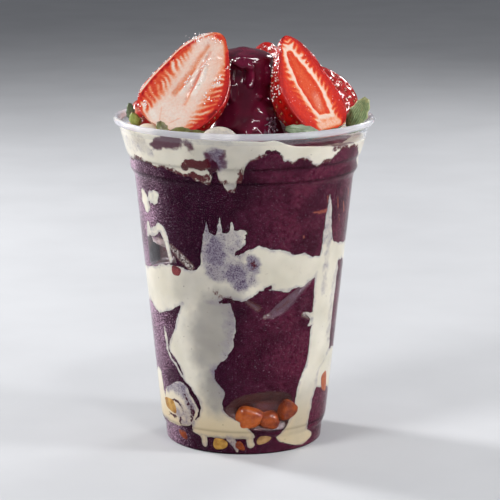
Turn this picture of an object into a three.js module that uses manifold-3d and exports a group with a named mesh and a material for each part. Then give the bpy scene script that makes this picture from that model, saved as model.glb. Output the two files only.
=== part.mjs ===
// A clear cup of acai pulp: cream streaked down its wall, fruit at the bottom, and a poured mound with
// strawberry halves on top. Millimetres, +Z up, the front is -Y. The origin is the centre of the foot,
// on the surface that the cup stands on.
import * as THREE from 'three';
import { mergeVertices } from 'three/addons/utils/BufferGeometryUtils.js';
import Module from 'manifold-3d';

const wasm = await Module();
wasm.setup();

// ---------- Driving dimensions ----------
const GAP = 0.3; // air left between touching pieces
const SEGMENTS = 36; // facets round the cup and its contents
const RIM_R = 49; // outside of the rolled lip
const CUP_H = 124; // to the top of the lip
const WALL = 0.6; // thickness of the clear plastic
const LIP_H = 2.3; // height of the rolled lip
const FOOT_R = 29.7; // outside of the foot
const FOOT_H = 6; // the upright foot ring, up to the groove over it
const RING_W = 2.6; // flat ring that the cup stands on
const PANEL_R = 25; // raised middle of the base
const PANEL_Z = 2.2; // how far it is raised
const STEP_Z = 104; // small step in the wall
const SHOULDER_Z = 110; // crease where the rim flares out
const REACH = 60; // radius that is safely outside the cup, for blanks

// Radius and height of the cup's outside, from the middle of its base to under the lip.
const OUTSIDE = [
  [0, PANEL_Z],
  [PANEL_R, PANEL_Z],
  [FOOT_R - RING_W, 0],
  [FOOT_R, 0],
  [FOOT_R + 0.4, FOOT_H],
  [FOOT_R + 1.3, FOOT_H + 1.5],
  [FOOT_R + 1.9, FOOT_H + 4],
  [RIM_R - 7.7, STEP_Z - 1.5],
  [RIM_R - 6.7, STEP_Z],
  [RIM_R - 6.1, STEP_Z + 1.2],
  [RIM_R - 5.9, SHOULDER_Z - 1],
  [RIM_R - 4.7, SHOULDER_Z + 1],
  [RIM_R - 3.8, SHOULDER_Z + 4.5],
  [RIM_R - 2.6, SHOULDER_Z + 8.5],
  [RIM_R - 1.8, CUP_H - LIP_H],
];

// Where the contents end inside the cup.
const SURFACE_Z = 117.2; // level of the acai under the toppings
const EDGE_LOW_Z = 116; // cream's edge on the wall, right and back
const EDGE_HIGH_Z = 121.4; // the same, front left
const EDGE_HIGH_AT = -45; // degrees round from the front, towards the right
const EDGE_HIGH_SPAN = 78; // degrees to each side
const EDGE_HIGH_FLAT = 0.45; // share of that span that stays at full height
const SHORE = [0.86, 0.68]; // shares of the radius between which the surface levels out

// The layer of cream that runs through the cup, and the film of cream on the wall.
const LAYER_Z = 67.3;
const LAYER_TILT = 0.13; // rise to the right
const LAYER_WAVE = 0.9;
const LAYER_HALF = 4; // half its thickness
const FILM_DEPTH = 4; // deepest cream on the wall
const FILM_SLOPE = 0.8; // how fast it deepens from its edge
const FILM_BEYOND = 1.5; // how far a blank runs outside the contents where there is no cream
const BLEND = 1.6; // rounding where streaks meet

// Streaks of cream on the wall: degrees round from the front, height, half width.
const STREAKS = [
  // the band round the cup
  [[-100, 61, 7.5], [-62, 61.5, 8.5], [-42, 64, 8.5], [-24, 71, 11], [-10, 74.5, 12], [2, 71.5, 10],
    [14, 72.5, 8.5], [30, 70.5, 6.5], [42, 71, 5], [54, 74, 6], [70, 74, 4.5], [90, 73, 4.5],
    [130, 71, 6.5], [180, 66, 8], [230, 63, 8], [260, 61, 7.5]],
  // peaks on its upper edge
  [[-19, 80, 4], [-20, 88, 0.8]],
  [[-11, 82, 4], [-13, 90, 0.8]],
  // the broad run on the front left, down to the foot
  [[-24, 60, 11.5], [-26, 50, 10.5], [-32, 42, 11], [-32, 33, 7.4], [-28, 26, 6], [-22, 20, 5],
    [-18, 13, 7.5], [-15, 7, 10]],
  // the long run on the front right, from its thin top to the pool in the foot
  [[51, 97, 0.8], [52, 88, 2], [55, 78, 4], [57, 66, 8], [57, 50, 7.6], [56, 38, 7.4], [49, 29, 6.2],
    [45, 21, 5], [43, 13, 5], [39, 7, 7], [43, 2, 6.5]],
  // two runs on the back
  [[150, 66, 7], [154, 46, 5.5], [150, 28, 5], [156, 8, 6]],
  [[236, 60, 7], [242, 44, 4.5], [238, 24, 4], [240, 12, 2.5]],
];

// Lower edge of the cream round the rim: degrees round from the front, height.
const RIM_EDGE = [
  [-180, 108], [-110, 110], [-60, 110], [-42, 109], [-22, 105.3], [-10, 102.5], [-3, 106], [2, 112.5],
  [11, 113], [20, 112], [36, 110.5], [44, 110.5], [56, 113], [75, 113], [120, 109.5], [180, 108],
];
const DOLLOP = { at: [-9, -37.5, 118.6], half: [6.2, 6.2, 5.6] }; // cream that bulges up behind the rim

// The poured mound of acai.
const MOUND_AT = [-0.5, -3];
const MOUND_TOP = 149.4;
const MOUND_R = 10.6; // round its upper part
const MOUND_FOOT_R = 14.4;
const FLARE_TOP = 0.62; // share of its height where the foot's flare starts
const CROWN = [0.87, 1.02]; // shares of its height over which the top rounds over
const FOLD_DEPTH = 0.8; // of the fold that winds round it
const FOLD_WIND = 5.5; // radians that the fold turns from foot to top
const MOUND_SEGMENTS = 22;

// Strawberry halves: base of the berry, its tip, its radius and the way its cut face looks.
const BERRIES = [
  { name: 'strawberry_front_left', base: [-30.2, -26, 123.4], tip: [-9, -9, 155.6], radius: 15.7,
    face: [-0.48, -0.85, 0.2], hollow: 1.3, lean: 0.08 },
  { name: 'strawberry_front_right', base: [31.6, -20, 121.2], tip: [15.3, -8, 154.6], radius: 14.9,
    face: [0.85, -0.53, 0.2], hollow: 0.3, lean: -0.08 },
  { name: 'strawberry_back_right', base: [36, 14, 117.6], tip: [22, 12, 141.4], radius: 12.2,
    face: [0.15, 0.98, 0.1], hollow: 0.4, lean: 0 },
  { name: 'strawberry_back', base: [7.5, 25.5, 118.2], tip: [8.8, 18.5, 149.2], radius: 11.6,
    face: [0.05, 1, 0.2], hollow: 0.5, lean: 0.04 },
  { name: 'strawberry_back_left', base: [-43, 10, 118.8], tip: [-16, 15, 124], radius: 9.4,
    face: [0, 0.85, -0.5], hollow: 0.3, lean: 0 },
];
const BERRY_STATIONS = 10; // along its length
const BERRY_SKIN_STEPS = 9; // round the skin
const BERRY_FACE_STEPS = 4; // across the cut face

// Sepals: root, tip, width, the way the upper face looks, and how far the middle bows out.
const LEAVES = [
  { name: 'leaf_right', root: [39.4, -3, 119], tip: [45.4, -5.5, 130.8],
    face: [0, -1, 0.1], width: 8.4, bow: 1.2 },
  { name: 'leaf_front_right', root: [27, -35.2, 122.4], tip: [14.8, -38.5, 124.7],
    face: [0, -0.85, 0.5], width: 5, bow: 0.8 },
  { name: 'leaf_front_left', root: [-28.6, -31.5, 120.6], tip: [-30.8, -32, 126.2],
    face: [0, -0.9, 0.4], width: 4.6, bow: 0.8 },
  { name: 'leaf_front', root: [-27, -34, 122.2], tip: [-18.6, -37.4, 122.6],
    face: [0, -0.8, 0.6], width: 3.6, bow: 0.5 },
  { name: 'leaf_left', root: [-39.6, -13, 121.6], tip: [-41, -15.5, 127],
    face: [-0.3, -0.9, 0.3], width: 4.6, bow: 1 },
  { name: 'leaf_left_tip', root: [-42.2, -0.5, 121.8], tip: [-42.8, -2, 128.6],
    face: [0.1, -1, 0.2], width: 3.4, bow: 0.6 },
  { name: 'leaf_back_right', root: [36, 20, 119.4], tip: [39.8, 25, 126.6],
    face: [0.3, 0.3, 0.9], width: 6, bow: 1 },
  { name: 'leaf_back', root: [18, 29.5, 118.8], tip: [26.5, 35, 123.6],
    face: [-0.2, 0.2, 0.95], width: 6.5, bow: 1 },
];
const LEAF_THICK = 0.5;
const LEAF_STATIONS = 5;
const LEAF_STEPS = 3;

// Pieces of fruit that show through the wall: degrees round, height, half width, half height and colour.
const ORANGE = 0xc8641c;
const YELLOW = 0xd9a440;
const TAN = 0xb78a52;
const CHUNKS = [
  [-61, 16, 5.5, 3.6, YELLOW],
  [5, 14.5, 3.2, 3.7, ORANGE],
  [19, 14, 3.2, 3.3, ORANGE],
  [34, 17, 3.2, 3.5, ORANGE],
  [67, 25, 3.2, 4.6, ORANGE],
  [-17, 4.2, 3, 2.4, YELLOW],
  [-3, 4, 2.2, 2.2, ORANGE],
  [14, 6, 3.2, 2.4, TAN],
  [-50, 5.6, 3, 2.2, ORANGE],
  [118, 15, 5, 3.8, ORANGE],
  [-140, 14, 4.6, 4, YELLOW],
];
const CHUNK_IN = 3.6; // half depth, into the cup
const BERRY_BIT = [-42, 70, 3.2, 2.6, 0x9c2a2c]; // a scrap of red fruit in the cream

// ---------- Small helpers ----------
const radians = THREE.MathUtils.degToRad;
const clamp = THREE.MathUtils.clamp;
const mix = THREE.MathUtils.lerp;
const smooth = THREE.MathUtils.smoothstep;

/** A repeatable random number source. */
function seeded(seed) {
  let state = seed;
  return () => {
    state = (state * 1664525 + 1013904223) % 4294967296;
    return state / 4294967296;
  };
}

/** The same angle between minus and plus half a turn. */
function halfTurn(angle) {
  return THREE.MathUtils.euclideanModulo(angle + Math.PI, 2 * Math.PI) - Math.PI;
}

/** The point at an angle round from the front, at a radius and a height. */
function around(angle, radius, height) {
  return new THREE.Vector3(radius * Math.sin(angle), -radius * Math.cos(angle), height);
}

/** The value at x on a line through sorted [x, y] pairs. */
function onLine(pairs, x) {
  const last = pairs.length - 1;
  const found = pairs.findIndex(([at]) => at >= x);
  const next = found < 0 ? last : Math.max(found, 1);
  const [x0, y0] = pairs[next - 1];
  const [x1, y1] = pairs[next];
  return mix(y0, y1, clamp((x - x0) / (x1 - x0), 0, 1));
}

/** The open line of [radius, height] pairs moved towards its left, which is the inside of the cup. */
function inset(line, distance) {
  return line.map(([radius, height], i) => {
    const here = new THREE.Vector2(radius, height);
    const before = new THREE.Vector2(...line[Math.max(i - 1, 0)]);
    const after = new THREE.Vector2(...line[Math.min(i + 1, line.length - 1)]);
    const into = (i > 0 ? here.clone().sub(before) : after.clone().sub(here)).normalize();
    const out = (i < line.length - 1 ? after.clone().sub(here) : into.clone()).normalize();
    const normal = new THREE.Vector2(-into.y - out.y, into.x + out.x).normalize();
    const along = distance / normal.dot(new THREE.Vector2(-into.y, into.x));
    return [radius + normal.x * along, height + normal.y * along];
  });
}

/** Pushes the two triangles of each quad between two closed rows of vertex numbers. */
function stitch(index, lower, upper) {
  for (let i = 0; i < lower.length; i += 1) {
    const next = (i + 1) % lower.length;
    index.push(lower[i], lower[next], upper[next], lower[i], upper[next], upper[i]);
  }
}

/** A geometry from points and triangles. */
function meshOf(points, index) {
  const geometry = new THREE.BufferGeometry();
  const flat = points.flatMap((point) => point.toArray());
  geometry.setAttribute('position', new THREE.Float32BufferAttribute(flat, 3));
  geometry.setIndex(index);
  return geometry;
}

/** A closed skin over rings of points, which run anticlockwise seen from the end, between two end points. */
function loft(rings, start, end) {
  const count = rings[0].length;
  const rowOf = (j) => Array.from({ length: count }, (_, i) => j * count + i);
  const index = [];
  for (let j = 0; j < rings.length - 1; j += 1) stitch(index, rowOf(j), rowOf(j + 1));
  const startAt = rings.length * count;
  const top = rowOf(rings.length - 1);
  for (let i = 0; i < count; i += 1) {
    const next = (i + 1) % count;
    index.push(startAt, next, i);
    index.push(top[i], top[next], startAt + 1);
  }
  return meshOf([...rings.flat(), start, end], index);
}

/** Angles of the facets round the cup or the mound. */
function anglesRound(segments) {
  return Array.from({ length: segments }, (_, i) => (i / segments) * 2 * Math.PI);
}

/** A solid round the axis. profileAt(angle) gives [radius, height] pairs from the axis up to the axis. */
function turned(profileAt, segments) {
  const profiles = anglesRound(segments).map(profileAt);
  const last = profiles[0].length - 1;
  const rings = [];
  for (let j = 1; j < last; j += 1) {
    rings.push(anglesRound(segments).map((angle, i) => around(angle, ...profiles[i][j])));
  }
  return loft(rings, around(0, 0, profiles[0][0][1]), around(0, 0, profiles[0][last][1]));
}

/** A ring round the axis. profileAt(angle) gives a closed line of [radius, height] pairs, outside first. */
function ringed(profileAt, segments) {
  const angles = anglesRound(segments);
  const profiles = angles.map(profileAt);
  const count = profiles[0].length;
  const points = [];
  const index = [];
  const rowOf = (j) => angles.map((_, i) => (j % count) * segments + i);
  for (let j = 0; j < count; j += 1) {
    points.push(...angles.map((angle, i) => around(angle, ...profiles[i][j])));
    stitch(index, rowOf(j), rowOf(j + 1));
  }
  return meshOf(points, index);
}

/** A thin solid between two grids of points that share their triangles. */
function sheet(front, back) {
  const rows = front.length;
  const columns = front[0].length;
  const half = rows * columns;
  const at = (i, j) => i * columns + j;
  const index = [];
  for (let i = 0; i < rows - 1; i += 1) {
    for (let j = 0; j < columns - 1; j += 1) {
      const [a, b, c, d] = [at(i, j), at(i, j + 1), at(i + 1, j + 1), at(i + 1, j)];
      index.push(a, b, c, a, c, d);
      index.push(half + a, half + c, half + b, half + a, half + d, half + c);
    }
  }
  const edge = [];
  for (let j = 0; j < columns - 1; j += 1) edge.push(at(0, j));
  for (let i = 0; i < rows - 1; i += 1) edge.push(at(i, columns - 1));
  for (let j = columns - 1; j > 0; j -= 1) edge.push(at(rows - 1, j));
  for (let i = rows - 1; i > 0; i -= 1) edge.push(at(i, 0));
  stitch(index, edge.map((vertex) => vertex + half), edge);
  return meshOf([...front.flat(), ...back.flat()], index);
}

/** The solid that a closed geometry bounds. */
function solidOf(geometry) {
  const bare = geometry.clone();
  bare.deleteAttribute('normal');
  bare.deleteAttribute('uv');
  const merged = mergeVertices(bare, 1e-4);
  return new wasm.Manifold(
    new wasm.Mesh({
      numProp: 3,
      vertProperties: new Float32Array(merged.attributes.position.array),
      triVerts: new Uint32Array(merged.index.array),
    }),
  );
}

/** The geometry of a solid's largest body: scraps that a cut leaves are dropped. */
function geometryOf(solid) {
  const bodies = solid.decompose();
  const largest = bodies.reduce((best, body) => (body.volume() > best.volume() ? body : best));
  const mesh = largest.getMesh();
  const geometry = new THREE.BufferGeometry();
  geometry.setAttribute('position', new THREE.BufferAttribute(mesh.vertProperties, 3));
  geometry.setIndex(new THREE.BufferAttribute(mesh.triVerts, 1));
  return geometry;
}

/** One solid less all the others. */
function without(solid, others) {
  return others.reduce((left, other) => left.subtract(other), solid);
}

// ---------- The cup ----------
const INSIDE = inset(OUTSIDE, WALL);
const FILL = inset(OUTSIDE, WALL + GAP); // how far the contents reach
const FILL_WALL = FILL.slice(3).map(([radius, height]) => [height, radius]);

function cupGeometry() {
  const lip = [
    [RIM_R - 0.5, CUP_H - LIP_H + 0.1],
    [RIM_R, CUP_H - LIP_H + 0.6],
    [RIM_R, CUP_H - 0.7],
    [RIM_R - 0.6, CUP_H],
    [RIM_R - 1.5, CUP_H],
    [RIM_R - 2.2, CUP_H - 0.6],
  ];
  const profile = [...OUTSIDE, ...lip, ...INSIDE.toReversed()];
  profile[profile.length - 1][0] = 0;
  const points = profile.map(([radius, height]) => new THREE.Vector2(radius, height));
  return new THREE.LatheGeometry(points, SEGMENTS).rotateX(Math.PI / 2);
}

// ---------- The contents ----------
/** Radius of the contents at a height on the wall. */
function fillRadius(height) {
  return onLine(FILL_WALL, height);
}

/** Height of the contents' edge on the wall. */
function edgeHeight(angle) {
  const away = Math.abs(halfTurn(angle - radians(EDGE_HIGH_AT)));
  const span = radians(EDGE_HIGH_SPAN);
  return mix(EDGE_HIGH_Z, EDGE_LOW_Z, smooth(away, span * EDGE_HIGH_FLAT, span));
}

/** Everything in the cup as one solid. raise lifts its top face. */
function fillSolid(raise) {
  const floor = FILL.slice(0, 4);
  const wall = FILL.slice(4).filter(([, height]) => height < SHOULDER_Z + 2);
  return solidOf(
    turned((angle) => {
      const edge = edgeHeight(angle) + raise;
      const under = mix(SHOULDER_Z + 2, edge, 0.5);
      const level = SURFACE_Z + raise;
      return [
        [0, floor[0][1]],
        ...floor.slice(1),
        ...wall,
        [fillRadius(under), under],
        [fillRadius(edge), edge],
        [fillRadius(edge) * SHORE[0], mix(edge, level, 0.6)],
        [fillRadius(edge) * SHORE[1], level],
        [0, level],
      ];
    }, SEGMENTS),
  );
}

/** Distance on the wall from a streak's edge, negative inside it. */
function streakDistance(streak, angle, height) {
  const radius = fillRadius(height);
  let nearest = Infinity;
  for (let i = 0; i < streak.length - 1; i += 1) {
    const [a0, z0, w0] = streak[i];
    const [a1, z1, w1] = streak[i + 1];
    const half = radians(a1 - a0) / 2;
    const turn = halfTurn(angle - radians(a0) - half) + half;
    const from = new THREE.Vector2(turn * radius, height - z0);
    const way = new THREE.Vector2(2 * half * radius, z1 - z0);
    const along = clamp(from.dot(way) / way.lengthSq(), 0, 1);
    nearest = Math.min(nearest, from.addScaledVector(way, -along).length() - mix(w0, w1, along));
  }
  return nearest;
}

/** Depth of the streaks' cream on the wall, negative where there is none. */
function streakDepth(angle, height) {
  const pull = (streak) => Math.exp(-streakDistance(streak, angle, height) / BLEND);
  const total = STREAKS.reduce((sum, streak) => sum + pull(streak), 0);
  return clamp(FILM_SLOPE * BLEND * Math.log(total), -FILM_BEYOND, FILM_DEPTH);
}

/** Depth of the rim's cream on the wall, negative where there is none. */
function rimDepth(angle, height) {
  const edge = onLine(RIM_EDGE, THREE.MathUtils.radToDeg(halfTurn(angle)));
  return clamp(FILM_SLOPE * (height - edge), -FILM_BEYOND, FILM_DEPTH);
}

/** A blank for cream on the wall: a ring whose inner face is the cream's, grown by a margin. */
function filmBlank(depthAt, heights, grow) {
  return solidOf(
    ringed((angle) => {
      const inner = heights.map((height) => [fillRadius(height) - depthAt(angle, height) - grow, height]);
      return [[REACH, heights[0]], [REACH, heights.at(-1)], ...inner.toReversed()];
    }, SEGMENTS),
  );
}

/** Height of the middle of the layer that runs through the cup. */
function layerHeight(angle, radius) {
  const across = radius * Math.sin(angle);
  return LAYER_Z + LAYER_TILT * across + LAYER_WAVE * Math.sin(3 * angle + 1) * (radius / RIM_R);
}

/** The layer that runs through the cup. */
function layerBlank(grow) {
  const half = LAYER_HALF + grow;
  const steps = [0, RIM_R - 5];
  return solidOf(
    turned((angle) => {
      const lower = steps.map((radius) => [radius, layerHeight(angle, radius) - half]);
      const upper = steps.map((radius) => [radius, layerHeight(angle, radius) + half]);
      return [...lower, ...upper.toReversed()];
    }, SEGMENTS),
  );
}

/** All the space under the middle of that layer. */
function underLayer() {
  return solidOf(
    turned((angle) => [
      [0, -FOOT_H],
      [REACH, -FOOT_H],
      [REACH, layerHeight(angle, REACH)],
      [0, LAYER_Z],
    ], SEGMENTS),
  );
}

/** Heights from one to another in equal steps of about a pitch. */
function levels(from, to, pitch) {
  const count = Math.round((to - from) / pitch);
  return Array.from({ length: count + 1 }, (_, i) => mix(from, to, i / count));
}

const STREAK_HEIGHTS = [-4, 1, 4, ...levels(8, 101, 5.8)];
const RIM_HEIGHTS = [101.2, ...levels(103.5, 118, 3.6), 126];

function dollopSolid(grow) {
  const ball = new THREE.SphereGeometry(1, 12, 7).rotateX(Math.PI / 2);
  return solidOf(ball.scale(...DOLLOP.half.map((size) => size + grow)).translate(...DOLLOP.at));
}

// ---------- Fruit at the wall ----------
/** A rounded, uneven block of fruit against the wall. */
function chunkSolid([degrees, height, wide, tall], seed, grow) {
  const random = seeded(seed);
  const block = new THREE.BoxGeometry(2, 2, 2, 2, 2, 2);
  block.deleteAttribute('normal');
  block.deleteAttribute('uv');
  const shape = mergeVertices(block);
  const position = shape.attributes.position;
  const point = new THREE.Vector3();
  const size = new THREE.Vector3(wide, CHUNK_IN, tall).addScalar(grow);
  for (let i = 0; i < position.count; i += 1) {
    point.fromBufferAttribute(position, i);
    const round = 1.12 / point.length();
    point.multiplyScalar(mix(1, round, 0.8) * (0.94 + 0.12 * random())).multiply(size);
    position.setXYZ(i, point.x, point.y, point.z);
  }
  const angle = radians(degrees);
  const centre = around(angle, fillRadius(height) - CHUNK_IN * 0.72, height);
  shape.rotateZ(angle).translate(centre.x, centre.y, centre.z);
  return solidOf(shape);
}

// ---------- The mound ----------
function moundSolid() {
  const heights = [...levels(SURFACE_Z - 2, MOUND_TOP - 4, 3.4), MOUND_TOP - 2.2, MOUND_TOP - 0.8];
  const shape = turned((angle) => {
    const rows = heights.map((height) => {
      const up = (height - SURFACE_Z) / (MOUND_TOP - SURFACE_Z);
      const flare = (MOUND_FOOT_R - MOUND_R) * Math.max(1 - up / FLARE_TOP, 0) ** 1.6;
      const crown = Math.sqrt(Math.max(1 - smooth(up, ...CROWN) ** 2, 0));
      const fold = FOLD_DEPTH * Math.sin(angle * 2 - up * FOLD_WIND);
      return [(MOUND_R + flare + fold) * crown, height];
    });
    return [[0, heights[0]], ...rows, [0, MOUND_TOP]];
  }, MOUND_SEGMENTS);
  return solidOf(shape.translate(...MOUND_AT, 0));
}

// ---------- Strawberries ----------
/** Share of a berry's radius at a share of its length from the base. */
function berryTaper(share) {
  return Math.sin(Math.PI * share ** 0.62) ** 0.55;
}

/** Half a berry with its base at the origin, its tip up and its cut face towards -Y. */
function halfBerry({ base, tip, radius, hollow, lean }, grow) {
  const length = new THREE.Vector3(...base).distanceTo(new THREE.Vector3(...tip));
  const rings = [];
  for (let i = 1; i < BERRY_STATIONS; i += 1) {
    const share = 0.5 - 0.5 * Math.cos((Math.PI * i) / BERRY_STATIONS);
    const size = radius * berryTaper(share) + grow;
    const height = mix(-grow, length + grow, share);
    const aside = lean * radius * Math.sin(2 * Math.PI * (share - 0.25)) * Math.sin(Math.PI * share);
    const ring = [];
    for (let k = 0; k <= BERRY_SKIN_STEPS; k += 1) {
      const turn = (Math.PI * k) / BERRY_SKIN_STEPS;
      const back = mix(-grow, size, Math.sin(turn));
      ring.push(new THREE.Vector3(aside + size * Math.cos(turn), back, height));
    }
    for (let k = 1; k < BERRY_FACE_STEPS; k += 1) {
      const across = mix(-1, 1, k / BERRY_FACE_STEPS);
      const dip = hollow * Math.sin(Math.PI * share) * (1 - Math.abs(across)) ** 2;
      ring.push(new THREE.Vector3(aside + size * across, dip - grow, height));
    }
    rings.push(ring);
  }
  return loft(rings, new THREE.Vector3(0, 0, -grow), new THREE.Vector3(0, 0, length + grow));
}

/** The turn that takes +Z along the way up and -Y as near as can be to the face. */
function turnTo(up, face) {
  const z = up.clone().normalize();
  const y = face.clone().addScaledVector(z, -face.dot(z)).normalize().negate();
  const x = new THREE.Vector3().crossVectors(y, z);
  return new THREE.Quaternion().setFromRotationMatrix(new THREE.Matrix4().makeBasis(x, y, z));
}

/** Where something that grows from one point to another stands. */
function placement(from, to, face) {
  const start = new THREE.Vector3(...from);
  const turn = turnTo(new THREE.Vector3(...to).sub(start), new THREE.Vector3(...face));
  return { position: start, quaternion: turn };
}

/** A geometry moved to its place, as a solid. */
function placedSolid(geometry, { position, quaternion }) {
  const matrix = new THREE.Matrix4().compose(position, quaternion, new THREE.Vector3(1, 1, 1));
  return solidOf(geometry.clone().applyMatrix4(matrix));
}

// ---------- Leaves ----------
/** A wavy sepal with its root at the origin, its tip up and its upper face towards -Y. */
function leafGeometry({ root, tip, width, bow }) {
  const length = new THREE.Vector3(...root).distanceTo(new THREE.Vector3(...tip));
  const grid = (lift) =>
    Array.from({ length: LEAF_STATIONS + 1 }, (_, i) => {
      const share = i / LEAF_STATIONS;
      const half = (width / 2) * mix(0.28, 1, Math.sin(Math.PI * share ** 0.8) ** 0.8);
      return Array.from({ length: LEAF_STEPS + 1 }, (__, j) => {
        const across = mix(-1, 1, j / LEAF_STEPS);
        const arch = bow * Math.sin(Math.PI * share) * (1 - 0.7 * across * across);
        const wave = 0.25 * Math.sin(7 * share + 2 * across);
        return new THREE.Vector3(half * across, -arch - wave - lift, length * share);
      });
    });
  return sheet(grid(LEAF_THICK / 2), grid(-LEAF_THICK / 2));
}

// ---------- Assembly ----------
/** A named mesh with its own material. */
function part(name, geometry, color, roughness, metalness = 0) {
  const mesh = new THREE.Mesh(geometry, new THREE.MeshStandardMaterial({ color, roughness, metalness }));
  mesh.name = name;
  return mesh;
}

const ACAI = 0x47203a;
const CREAM = 0xe2dac4;
const STRAWBERRY = 0xc9281f;
const LEAF = 0x6d8a3f;
const PLASTIC = 0xeef2f5;

const group = new THREE.Group();
group.name = 'acai_cup';
group.add(part('cup', cupGeometry(), PLASTIC, 0.08));

const fill = fillSolid(0);
const berryPlaces = BERRIES.map(({ base, tip, face }) => placement(base, tip, face));
const berryPockets = BERRIES.map((berry, i) => placedSolid(halfBerry(berry, GAP), berryPlaces[i]));

const pieces = CHUNKS.map((chunk, i) => ({ name: `fruit_${i + 1}`, spec: chunk, seed: i + 11 }));
pieces.push({ name: 'berry_bit', spec: BERRY_BIT, seed: 5 });
const pockets = pieces.map(({ spec, seed }) => chunkSolid(spec, seed, GAP));

const streaks = fill.intersect(filmBlank(streakDepth, STREAK_HEIGHTS, 0));
const middle = streaks.add(fill.intersect(layerBlank(0)));
group.add(part('cream_middle', geometryOf(without(middle, pockets)), CREAM, 0.3));

const rimCream = fill.intersect(filmBlank(rimDepth, RIM_HEIGHTS, 0)).add(dollopSolid(0));
group.add(part('cream_rim', geometryOf(without(rimCream, berryPockets)), CREAM, 0.3));

const creamPockets = [
  filmBlank(streakDepth, STREAK_HEIGHTS, GAP),
  filmBlank(rimDepth, RIM_HEIGHTS, GAP),
  layerBlank(GAP),
  dollopSolid(GAP),
];
const acai = without(fill, [...creamPockets, ...pockets, ...berryPockets]);
const lowerSpace = underLayer();
group.add(part('acai_lower', geometryOf(acai.intersect(lowerSpace)), ACAI, 0.35));
group.add(part('acai_upper', geometryOf(acai.subtract(lowerSpace)), ACAI, 0.35));

const moundCuts = [fillSolid(GAP), dollopSolid(GAP), ...berryPockets];
group.add(part('acai_mound', geometryOf(without(moundSolid(), moundCuts)), ACAI, 0.2));

const fruit = new THREE.Group();
pieces.forEach(({ name, spec, seed }) => {
  const solid = chunkSolid(spec, seed, 0).intersect(fill);
  fruit.add(part(name, geometryOf(solid), spec.at(-1), 0.35));
});
group.add(fruit);

const toppings = new THREE.Group();
BERRIES.forEach((berry, i) => {
  const mesh = part(berry.name, halfBerry(berry, 0), STRAWBERRY, 0.35);
  mesh.position.copy(berryPlaces[i].position);
  mesh.quaternion.copy(berryPlaces[i].quaternion);
  toppings.add(mesh);
});
LEAVES.forEach((leaf) => {
  const mesh = part(leaf.name, leafGeometry(leaf), LEAF, 0.6);
  const { position, quaternion } = placement(leaf.root, leaf.tip, leaf.face);
  mesh.position.copy(position);
  mesh.quaternion.copy(quaternion);
  toppings.add(mesh);
});
group.add(toppings);

export default group;
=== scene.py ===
# %% [markdown]
# # A cup of acai with cream and strawberries
#
# Frozen acai pulp is served in a clear plastic cup. The maker smears sweet cream on the inside of the
# cup first, drops fruit in, fills it with pulp and tops it with a poured mound and halved strawberries.
# What sells such a cup is its wall: cream and pulp are pressed against the plastic in sharp shapes.
#
# So this lesson spends its effort on the wall. Every shape on it is written in two numbers, the angle
# round the cup and the height, and one set of tables in those numbers makes all the pieces fit.

# %% Open the frame
import itertools
import math
from functools import cached_property

import bpy
import numpy as np
from mathutils import Matrix, Vector


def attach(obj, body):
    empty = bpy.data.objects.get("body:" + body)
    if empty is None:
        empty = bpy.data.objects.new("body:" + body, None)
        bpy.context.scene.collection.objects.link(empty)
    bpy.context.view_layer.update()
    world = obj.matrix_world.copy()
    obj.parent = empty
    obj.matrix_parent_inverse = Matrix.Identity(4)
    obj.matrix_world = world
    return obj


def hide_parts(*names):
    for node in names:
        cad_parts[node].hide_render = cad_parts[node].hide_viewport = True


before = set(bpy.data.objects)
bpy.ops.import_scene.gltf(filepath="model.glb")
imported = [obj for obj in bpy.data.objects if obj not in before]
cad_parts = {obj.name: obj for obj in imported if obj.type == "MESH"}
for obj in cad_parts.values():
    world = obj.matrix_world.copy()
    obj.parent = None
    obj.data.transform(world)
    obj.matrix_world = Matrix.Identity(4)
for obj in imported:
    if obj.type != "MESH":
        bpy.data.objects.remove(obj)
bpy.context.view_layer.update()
for spare in ("Cube", "Camera", "Light"):  # what a new file holds
    if spare in bpy.data.objects:
        bpy.data.objects.remove(bpy.data.objects[spare])
MM = 0.001  # sizes below are in millimetres
print("solids in the frame:", len(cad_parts))

# %% [markdown]
# ## Small tools for shapes
#
# The pieces are made as arrays of points, because thousands of points that follow a formula are easier
# to compute at once than to push about one at a time. Smooth noise that is the same on every run makes
# them uneven. Each formula is given as a few waves: how much, how wide and a seed.

# %% Blends and noise
def smooth(x, low, high):
    """0 below low, 1 above high, and a soft step between."""
    t = np.clip((np.asarray(x, float) - low) / (high - low), 0, 1)
    return t * t * (3 - 2 * t)


def mixed(a, b, t):
    return a + (b - a) * t


def cell_value(cells, seed):
    """A repeatable random number from 0 to 1 for each whole-number cell."""
    i, j, k = (cells[..., n].astype(np.int64).astype(np.uint32) for n in range(3))
    value = i * np.uint32(374761393) + j * np.uint32(668265263) + k * np.uint32(2246822519)
    value = value + np.uint32(seed * 7919 + 101)
    for shift, factor in ((13, 1274126177), (16, 2654435761), (15, 1)):
        value = (value ^ (value >> np.uint32(shift))) * np.uint32(factor)
    return (value & np.uint32(0xFFFFFF)) / float(0xFFFFFF)


def uneven(points, size, seed):
    """Smooth noise from -1 to 1, with bumps about as wide as size."""
    grid = np.asarray(points, float) / size
    base = np.floor(grid)
    part = grid - base
    part = part * part * (3 - 2 * part)
    total = 0
    for corner in itertools.product((0, 1), repeat=3):
        weight = np.prod(np.where(corner, part, 1 - part), axis=-1)
        total = total + weight * cell_value(base + np.array(corner), seed)
    return total * 2 - 1


def waves(points, *parts):
    """Noise added up from parts of (how much, how wide, seed)."""
    return sum(much * uneven(points, wide, seed) for much, wide, seed in parts)


print("noise at one place:", round(float(uneven([0.3, 0.6, 0.9], 1, 5)), 3))


# %% [markdown]
# A closed piece is nearly always a stack of rings with a pole at each end, so one function makes the
# faces of them all. Another turns points and faces into a piece, and a third writes numbers on its
# points, which a material can read later.

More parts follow.
